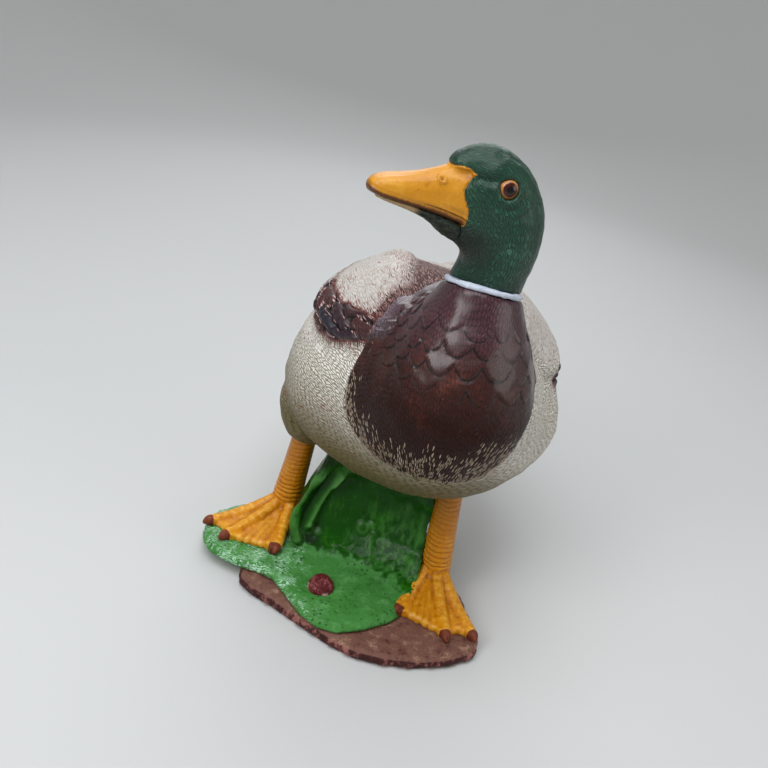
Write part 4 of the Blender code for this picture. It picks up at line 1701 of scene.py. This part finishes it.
    def part_bill(self, piece: bpy.types.Object, feather: np.ndarray) -> bpy.types.Object:
        """Takes the bill's shell off the skin as a closed piece of its own.

        Args:
            piece: the whole skin.
            feather: how far each point is inside the bill's paint, in mm.

        Returns:
            The bill's object.
        """
        bm = bmesh.new()
        bm.from_mesh(piece.data)
        outside = [f for f in bm.faces if any(feather[v.index] < 0 for v in f.verts)]
        bmesh.ops.delete(bm, geom=outside, context="FACES")
        bmesh.ops.solidify(bm, geom=bm.faces[:], thickness=self.wall * MM)
        return link("bill_top", bm)

    def build(self) -> list[bpy.types.Object]:
        """Builds the head, the neck and the upper bill.

        Returns:
            The head's and the bill's objects.
        """
        piece = Cast("head_and_neck", ("head", "neck", "bill_upper"), 0.95, 0.35, 14).pour()
        clay = Clay(piece)
        self.carve_face(clay)
        self.carve_bill(clay)
        feather = self.feather_line(clay)
        bill = self.part_bill(piece, feather)
        clay.push(-0.7 * smoothstep(feather, 0.3, 2.0))
        beyond, above = clay.x - self.throat[0], clay.z - self.throat[1]
        clay.mark("hair_along", 70 * np.arctan2(above, beyond))
        clay.mark("hair_across", 28 * np.arctan2(clay.y - self.eye[1], np.hypot(beyond, above) - 60))
        under = smoothstep(-clay.x, -4, 20) * fade(clay.z + 0.25 * clay.x, 340, 352)
        clay.mark("throat", np.clip(under * smoothstep(clay.z, 316, 332), 0, 1))
        dress(bill, BillPaint(self.effects).build(), Slot.ORANGE, "bill_upper")
        dress(piece, GreenHead(self.effects).build(), Slot.GREEN, "head", "neck")
        return [piece, bill]


@dataclass
class Collar(Moulded):
    """The white ring round the neck's foot."""

    mould: Cast = Cast("neck_ring", ("collar",), 0.7, 0.1, 6)
    finish: type[Finish] = WhiteRing
    slot: Slot = Slot.WHITE

    def carve(self, clay: Clay) -> None:
        """Makes the ring uneven, as thick paint is."""
        clay.push(0.35 * clay.lattice(3.5, 41) + 0.6 * clay.lattice(10, 42) - 0.2)


@dataclass
class Chin(Moulded):
    """The lower bill with the chin behind it."""

    mould: Cast = Cast("bill_bottom", ("bill_lower",), 0.8, 0.45, 8)
    finish: type[Finish] = ChinPaint
    slot: Slot = Slot.ORANGE

    def carve(self, clay: Clay) -> None:
        """Roughens the chin and marks the lip.

        Args:
            clay: the skin's points.
        """
        front = fade(clay.x, -66, -58)
        clay.push(0.35 * clay.lattice(3.5, 55) * (1 - front) + 0.15 * clay.lattice(7, 56))
        clay.mark("lip", front)


@dataclass
class Eyes:
    """Domed painted eyes."""

    effects: Effects
    radius: float = 6.6
    dome: tuple[float, float, float] = (1.06, 0.7, 1.05)
    # How far over its middle each eye looks, in mm.
    gaze: float = 0.8

    def build(self) -> list[bpy.types.Object]:
        """Builds both eyes.

        Returns:
            Their objects.
        """
        material = EyePaint(self.effects).build()
        made = []
        for side in Side:
            name = side.name.lower()
            low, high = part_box(f"eye_{name}")
            centre = (low + high) / 2
            bm = bmesh.new()
            bmesh.ops.create_uvsphere(bm, u_segments=48, v_segments=32, radius=self.radius * MM)
            bmesh.ops.rotate(bm, verts=bm.verts, matrix=Matrix.Rotation(math.pi / 2, 3, "X"))
            bmesh.ops.scale(bm, verts=bm.verts, vec=self.dome)
            bmesh.ops.translate(bm, verts=bm.verts, vec=centre)
            piece = link(f"eye_ball_{name}", bm)
            clay = Clay(piece)
            clay.mark("from_centre", np.hypot(clay.x - centre.x / MM, clay.z - centre.z / MM - self.gaze))
            made.append(dress(piece, material, Slot.EYE, f"eye_{name}"))
        return made


@dataclass(frozen=True)
class Stance:
    """Where a foot stands in mm, how it is turned in degrees, and on which side its inner toe is."""

    ankle: tuple[float, float]
    sole: float
    turn: float
    inner: int


STANCES = {
    Side.RIGHT: Stance((-96.0, 38.0), 18.0, 52.0, 1),
    Side.LEFT: Stance((36.0, -38.0), 10.0, 2.0, -1),
}


@dataclass
class Limb:
    """A leg with ring folds and its webbed foot, in one skin, with separate claws."""

    effects: Effects
    side: Side
    # Each toe's angle from the middle one in degrees and its length in mm, the inner one first.
    toes: tuple[tuple[float, float], ...] = ((36.0, 66.0), (0.0, 80.0), (-17.0, 82.0))
    # Balls along each toe and along each row of a web; the rows are shares from toe to toe.
    knuckle_beads: int = 26
    web_beads: int = 14
    web_rows: tuple[float, ...] = (0.2, 0.35, 0.5, 0.65, 0.8)
    fold_pitch: float = 4.6
    ring_pitch: float = 5.0
    web_radius: float = 4.6
    claw_radius: float = 4.5
    # How fast the foot's arch falls from the ankle to the claws.
    arch: float = 2.2

    def toe_point(self, toe: tuple[float, float], along: float, lift: float) -> Vector:
        """A place on a toe.

        Args:
            toe: its angle and length.
            along: 0 at the heel, 1 at the claw.
            lift: height over the sole in mm.

        Returns:
            The place in metres.
        """
        stance = STANCES[self.side]
        turn = math.radians(stance.turn)
        heading = turn - stance.inner * math.radians(toe[0])
        reach = 6 + (toe[1] - 6) * along
        heel = Vector((*stance.ankle, stance.sole)) + Vector((math.sin(turn), math.cos(turn), 0)) * 9
        return (heel + Vector((-math.sin(heading) * reach, -math.cos(heading) * reach, lift))) * MM

    def bead(self, toe: tuple[float, float], along: float, lift: float, radius: float) -> bmesh.types.BMesh:
        """A ball on a toe, which the skin takes in.

        Args:
            toe: the toe's angle and length.
            along: 0 at the heel, 1 at the claw.
            lift: its middle's height over the sole in mm.
            radius: its radius in mm.

        Returns:
            The ball.
        """
        ball = bmesh.new()
        bmesh.ops.create_icosphere(ball, subdivisions=2, radius=radius * MM)
        bmesh.ops.translate(ball, verts=ball.verts, vec=self.toe_point(toe, along, lift))
        return ball

    def knuckles(self) -> list[bmesh.types.BMesh]:
        """Beads along the toes, which run together into knobbly ridges.

        Returns:
            The beads.
        """
        beads = []
        for toe in self.toes:
            for step in range(self.knuckle_beads):
                along = 0.1 + 0.85 * step / (self.knuckle_beads - 1)
                radius = 6.5 - 1.2 * along - 2.4 * (1 - along) ** 3 + 0.2 * math.sin(step * 1.9)
                beads.append(self.bead(toe, along, 22 * (1 - along) ** self.arch + 5.0 - 0.6 * along, radius))
        return beads

    def webs(self) -> list[bmesh.types.BMesh]:
        """Beads between the toes, which fill the webs out to the claws.

        Returns:
            The beads.
        """
        beads = []
        for first, second in zip(self.toes, self.toes[1:]):
            for share in self.web_rows:
                toe = tuple(a + (b - a) * share for a, b in zip(first, second))
                for step in range(self.web_beads):
                    along = 0.3 + 0.62 * step / (self.web_beads - 1) - 0.05 * math.sin(math.pi * share)
                    beads.append(self.bead(toe, along, 17 * (1 - along) ** self.arch + 2.4, self.web_radius))
        return beads

    def claws(self) -> bpy.types.Object:
        """Builds the foot's three blunt claws.

        Returns:
            Their object.
        """
        whole = bmesh.new()
        radius = self.claw_radius * MM
        for toe in self.toes:
            made = bmesh.ops.create_uvsphere(whole, u_segments=20, v_segments=14, radius=radius)["verts"]
            ahead = (self.toe_point(toe, 1.0, 0) - self.toe_point(toe, 0.5, 0)).normalized()
            for vert in made:
                reach = max(0.0, vert.co.y / radius)
                vert.co.z -= 1.2 * MM * reach ** 2
                vert.co.x *= 1 - 0.35 * reach
                vert.co.y *= 1.45
            turn = Matrix.Rotation(math.atan2(-ahead.x, ahead.y), 3, "Z")
            bmesh.ops.rotate(whole, verts=made, matrix=turn)
            bmesh.ops.translate(whole, verts=made, vec=self.toe_point(toe, 1.0, 5.0))
        bmesh.ops.recalc_face_normals(whole, faces=whole.faces)
        piece = link(f"claws_{self.side.name.lower()}", whole)
        return dress(piece, ClawPaint(self.effects).build(), Slot.ORANGE)

    def from_ridges(self, clay: Clay) -> np.ndarray:
        """How far each point is from the nearest toe's ridge, in mm.

        Args:
            clay: the skin's points.

        Returns:
            One distance for each point.
        """
        stops = [(along, 21 * (1 - along) ** self.arch + 5) for along in (0.1, 0.4, 0.7, 1.0)]
        ridges = [[self.toe_point(toe, *stop) / MM for stop in stops] for toe in self.toes]
        return np.min([line_distance(clay.points, ridge) for ridge in ridges], axis=0)

    def past_tip(self, clay: Clay, toe: tuple[float, float]) -> np.ndarray:
        """1 at a toe's tip and past it, 0 on the rest of the foot.

        Args:
            clay: the foot's skin.
            toe: the toe's turn and length.

        Returns:
            One value for each point.
        """
        heel, tip = (np.array(self.toe_point(toe, along, 0.0)) / MM for along in (0.5, 1.0))
        run = (tip - heel)[:2] / np.linalg.norm((tip - heel)[:2])
        away = clay.points[:, :2] - tip[:2]
        aside = np.abs(away[:, 0] * run[1] - away[:, 1] * run[0])
        return smoothstep(away @ run, -3.5, -1.0) * fade(aside, 5.0, 7.0)

    def carve(self, clay: Clay) -> None:
        """Cuts the leg's ring folds and the webs' waves, and marks the folds and hollows for painted shade,
        the ridges for painted highlight, and the toe tips.

        Args:
            clay: the skin's points.
        """
        height = clay.z - STANCES[self.side].sole
        leg = smoothstep(height, 20, 27)
        wave = height + 1.8 * clay.lattice(14, 61) + 1.0 * clay.lattice(6, 62)
        folds = np.abs(np.sin(math.pi * wave / self.fold_pitch))
        strength = 0.4 + 0.6 * fade(height, 30, 62) + 0.3 * clay.lattice(16, 64)
        cut_and_shade = fade(folds, 0.0, 0.5) * leg * strength
        clay.push(-0.9 * cut_and_shade + 0.35 * leg * folds * strength + 0.35 * clay.lattice(4, 63) * (1 - leg))
        away = self.from_ridges(clay)
        rings = np.abs(np.sin(math.pi * (clay.x + clay.y + 3 * clay.lattice(8, 66)) / self.ring_pitch))
        across = fade(rings, 0.0, 0.45) * fade(away, 5, 8) * (1 - leg)
        wavy = np.sin(0.75 * (away - 7) + 1.6 * clay.lattice(11, 67)) * smoothstep(away, 5, 8)
        clay.push(-0.15 * across + 0.12 * wavy * (1 - leg) * smoothstep(height, 3, 7))
        hollow = clay.hollows(7)
        web = smoothstep(away, 6, 12) * (1 - leg) * smoothstep(height, 2, 5)
        deep = smoothstep(hollow, 0.06, 0.36) * (1 - 0.6 * leg)
        # Painted shade in the folds and hollows; the ridges below get painted highlight.
        clay.mark("fold", np.clip(cut_and_shade * 0.8 + 0.05 * across + 0.15 * web + 0.6 * deep, 0, 1))
        clay.mark("nail", np.max([self.past_tip(clay, toe) for toe in self.toes], axis=0))
        clay.mark("ridge", smoothstep(-hollow, 0.03, 0.24) * (1 - 0.8 * leg))

    def build(self) -> list[bpy.types.Object]:
        """Builds the leg, the foot and its claws.

        Returns:
            Their objects.
        """
        name = self.side.name.lower()
        mould = Cast(f"leg_and_foot_{name}", (f"leg_{name}", f"foot_{name}"), 0.9, 0.4, 7)
        piece = mould.pour(self.knuckles() + self.webs())
        self.carve(Clay(piece))
        dress(piece, OrangePaint(self.effects).build(), Slot.ORANGE, *mould.nodes)
        return [piece, self.claws()]


@dataclass
class TailCurl(Moulded):
    """The curled feather above the tail."""

    mould: Cast = Cast("curled_feather", ("tail_curl",), 0.8, 0.3, 8)
    finish: type[Finish] = CurlPaint
    slot: Slot = Slot.CHESTNUT


# ---------------------------------------------------------------------------
# The base


@dataclass
class LeafBase(Moulded):
    """The bunch of dark leaves and the rough mint leaf that it grows from, in one skin."""

    mould: Cast = Cast("leaves", ("leaf_clump", "leaf_pad"), 1.35, 0.4, 7)
    finish: type[Finish] = LeafPaint
    slot: Slot = Slot.LEAF
    # The front leaf's midrib, rolled rim and folded tip.
    midrib: tuple[tuple[float, ...], ...] = ((-79, -7, 42), (-73, -2, 60), (-66, 1, 78), (-57, 3, 90))
    rim: tuple[tuple[float, ...], ...] = (
        (-88, -12, 28), (-93, -9, 46), (-94, -6, 64), (-87, -4, 80), (-77, -5, 91), (-66, -6, 100))
    fold: tuple[tuple[float, ...], ...] = ((-62, 2, 84), (-55, 3, 92), (-48, 4, 98))
    # Buds as a place and a size.
    buds: tuple[tuple[float, ...], ...] = (
        (-79, -8, 37, 5.0), (-30, -9, 43, 5.5), (-24, -12, 48, 4.0), (-70, -6, 33, 4.0))
    # Raised lines where leaves meet.
    seams: tuple[tuple[tuple[float, ...], ...], ...] = (
        ((-22, -15, 38), (-23, -24, 30), (-22, -34, 23)),
        ((-10, -50, 21), (-3, -38, 36), (2, -24, 54), (6, -14, 74)),
        ((5, -52, 22), (11, -42, 36), (15, -32, 52), (18, -24, 72)),
    )

    def carve(self, clay: Clay) -> None:
        """Raises the ribs, rims, buds and lumps, and marks where each green lies, the painted highlight,
        sheen and shade among them.

        Args:
            clay: the skin's points.
        """
        upper = smoothstep(clay.facing_up, -0.2, 0.5) * (clay.z < 30)
        stem = smoothstep(clay.z, 20, 27)
        midrib, rim, fold = (line_distance(clay.points, line) for line in (self.midrib, self.rim, self.fold))
        relief = 2.6 * bell(midrib, 3.0) - 2.2 * bell(midrib - 8, 3.5) * stem
        relief = relief + 4.0 * bell(rim, 4.5) + 4.0 * bell(fold, 6.0)
        # The paler green marks painted highlight on the raised ribs, rims, buds and seams.
        pale = 0.75 * bell(midrib, 2.2) + 0.6 * bell(rim, 3.2) + 0.6 * bell(fold, 5.0)
        for *place, size in self.buds:
            away = np.linalg.norm(clay.points - np.array(place), axis=1)
            relief = relief + 1.7 * bell(away, size) - 0.8 * bell(away - 1.5 * size, 1.8)
            pale = pale + 0.35 * bell(away - 0.8 * size, 1.6)
        for line in self.seams:
            crest = bell(line_distance(clay.points, line), 3.0)
            relief = relief + 1.3 * crest
            pale = pale + 0.3 * crest
        # Upright folds behind, and the casting's lumps.
        turn = np.degrees(np.arctan2(clay.y - 10, clay.x + 35))
        folds = np.sin(np.radians(turn * 7 + 0.8 * clay.z + 60 * clay.lattice(30, 77)))
        relief = relief + 2.0 * smoothstep(clay.y, 5, 25) * stem * folds
        relief = relief + stem * (1.3 * clay.lattice(21, 71) + 0.3 * clay.lattice(8, 72))
        rough = 0.9 * clay.lattice(14, 81) + 0.7 * clay.lattice(6, 82) + 0.5 * clay.lattice(3.2, 83)
        clay.push(relief + rough * upper)
        level = 23.0 + 3.5 * clay.lattice(7, 73) + 2.5 * clay.lattice(3, 74)
        clay.mark("mint", level - clay.z)
        # Where the painted sheen's streaks lie.
        beside = smoothstep(clay.x + 0.35 * clay.z, -22, 6) * fade(clay.z, 44, 76)
        clay.mark("sheen", beside * stem * (clay.y < 15))
        pale = np.clip(pale, 0, 1)
        clay.mark("pale", pale * stem)
        # Painted shade in the hollow under the belly and between the front leaf's midrib and rim.
        hollow = smoothstep(clay.z, 70, 112) * smoothstep(clay.x, -60, -45)
        valley = smoothstep(midrib, 4, 8) * smoothstep(rim, 4, 8) * fade(clay.x, -74, -62) * (clay.y < 8)
        clay.mark("deep", np.clip(0.7 * hollow + 0.8 * valley, 0, 1) * stem * (1 - pale))
        clay.mark("dry", -0.42 + 0.72 * smoothstep(-clay.x, 38, 110))


@dataclass
class Slab(Moulded):
    """The earth slab at the bottom, gravelly at its edge."""

    mould: Cast = Cast("earth_slab", ("base_slab",), 1.6, 0.0, 4)
    finish: type[Finish] = EarthPaint
    slot: Slot = Slot.EARTH

    def carve(self, clay: Clay) -> None:
        """Roughens all but the flat underside and marks the edge.

        Args:
            clay: the skin's points.
        """
        steep = fade(np.abs(clay.facing_up), 0.5, 0.95)
        rough = 1.2 * clay.lattice(7, 91) + 0.9 * clay.lattice(3.4, 92)
        clay.push(rough * (0.6 + 0.4 * steep) * smoothstep(clay.z, 0.4, 3.0))
        clay.mark("edge", steep)


@dataclass
class Berry(Moulded):
    """The grainy red knob on the leaf."""

    mould: Cast = Cast("red_berry", ("berry",), 0.7, 0.2, 3)
    finish: type[Finish] = BerryPaint
    slot: Slot = Slot.BERRY

    def carve(self, clay: Clay) -> None:
        """Raises the grains and marks the worn ones."""
        clay.push(0.7 * clay.lattice(2.4, 95) + 0.5 * clay.lattice(5, 96))
        clay.mark("pale", 0.7 * fade(clay.z, 18.0, 20.0) * smoothstep(clay.lattice(6, 97), -0.1, 0.5))


# ---------------------------------------------------------------------------
# The studio


@dataclass(frozen=True)
class Lamp:
    """A soft round lamp: its name, place and width in metres, power in watts and tint."""

    name: str
    place: tuple[float, float, float]
    size: float
    power: float
    tint: Colour = (1.0, 1.0, 1.0)

    def hang(self, target: Vector) -> None:
        """Hangs the lamp so that it looks at a place.

        Args:
            target: the place, in metres.
        """
        lamp = bpy.data.lights.new(self.name, "AREA")
        lamp.shape = "DISK"
        lamp.size = self.size
        lamp.energy = self.power
        lamp.color = self.tint
        holder = bpy.data.objects.new(self.name, lamp)
        bpy.context.scene.collection.objects.link(holder)
        holder.location = self.place
        holder.rotation_mode = "QUATERNION"
        holder.rotation_quaternion = (Vector(self.place) - target).to_track_quat("Z", "Y")


@dataclass
class Studio:
    """Camera, lights and floor; angles in degrees and places in metres."""

    azimuth: float = -15.0
    elevation: float = 27.0
    roll: float = 13.0
    distance: float = 0.66
    target: tuple[float, float, float] = (-0.045, -0.024, 0.2)
    lens: float = 38.58
    lit: tuple[float, float, float] = (0.0, 0.0, 0.2)
    lamps: tuple[Lamp, ...] = (
        Lamp("sky", (-0.45, -0.35, 1.65), 1.5, 22, (0.92, 0.96, 1.0)),
        Lamp("window", (-1.3, -0.8, 1.2), 0.7, 10),
        Lamp("fill", (1.4, -0.9, 0.8), 1.2, 6.5, (1.0, 0.98, 0.95)),
        Lamp("rim", (0.3, 1.5, 1.1), 1.2, 7, (0.95, 0.98, 1.0)),
        Lamp("ceiling", (0.4, 0.9, 2.3), 2.0, 12, (0.97, 0.98, 1.0)),
    )
    # The floor's flat radius and the radius of the cove round it.
    flat: float = 1.7
    cove: float = 0.9

    def camera(self) -> None:
        """Places the camera."""
        a, e, r = (math.radians(v) for v in (self.azimuth, self.elevation, self.roll))
        back = Vector((math.sin(a) * math.cos(e), -math.cos(a) * math.cos(e), math.sin(e)))
        right = Vector((math.cos(a), math.sin(a), 0))
        leant = right * math.cos(r) + back.cross(right) * math.sin(r)
        turn = Matrix((leant, back.cross(leant), back)).transposed().to_4x4()
        camera = bpy.data.objects.new("camera", bpy.data.cameras.new("camera"))
        bpy.context.scene.collection.objects.link(camera)
        camera.matrix_world = Matrix.Translation(Vector(self.target) + back * self.distance) @ turn
        camera.data.lens = self.lens
        camera.data.sensor_width = 36
        camera.data.clip_start = 0.01
        bpy.context.scene.camera = camera

    def floor(self) -> None:
        """Lays the pale floor, which curves up all round like a studio cove."""
        bm = bmesh.new()
        path = [Vector((0.0, 0, 0)), Vector((0.9, 0, 0)), Vector((self.flat, 0, 0))]
        for step in range(1, 13):
            turn = math.pi / 2 * step / 12
            path.append(Vector((self.flat + self.cove * math.sin(turn), 0, self.cove * (1 - math.cos(turn)))))
        path.append(Vector((self.flat + self.cove, 0, self.cove + 1.0)))
        verts = [bm.verts.new(place) for place in path]
        edges = [bm.edges.new(pair) for pair in zip(verts, verts[1:])]
        bmesh.ops.spin(bm, geom=verts + edges, cent=(0, 0, 0), axis=(0, 0, 1), angle=2 * math.pi, steps=72,
                       use_merge=True)
        bmesh.ops.remove_doubles(bm, verts=bm.verts, dist=SAME_POINT)
        bmesh.ops.recalc_face_normals(bm, faces=bm.faces)
        floor = link("floor", bm)
        for face in floor.data.polygons:
            face.use_smooth = True
        material = bpy.data.materials.new("pale floor")
        material.use_nodes = True
        shader = next(n for n in material.node_tree.nodes if n.type == "BSDF_PRINCIPLED")
        shader.inputs["Base Color"].default_value = (0.56, 0.56, 0.55, 1)
        shader.inputs["Roughness"].default_value = 0.8
        floor.data.materials.append(material)

    def build(self) -> None:
        """Sets up the whole studio."""
        self.camera()
        self.floor()
        for lamp in self.lamps:
            lamp.hang(Vector(self.lit))
        world = bpy.data.worlds.new("studio")
        world.use_nodes = True
        world.node_tree.nodes["Background"].inputs["Color"].default_value = (0.86, 0.9, 0.95, 1)
        world.node_tree.nodes["Background"].inputs["Strength"].default_value = 0.2
        bpy.context.scene.world = world
        bpy.context.scene.view_settings.view_transform = "Standard"


def main() -> None:
    """Builds every piece in order."""
    logging.basicConfig(level=logging.INFO, format="%(name)s: %(message)s")
    effects = Effects.build()
    Studio().build()
    for kind in (Body, Head, Collar, Chin, Eyes):
        kind(effects).build()
    for side in Side:
        Limb(effects, side).build()
    for kind in (TailCurl, LeafBase, Slab, Berry):
        kind(effects).build()


if __name__ == "__main__":
    main()
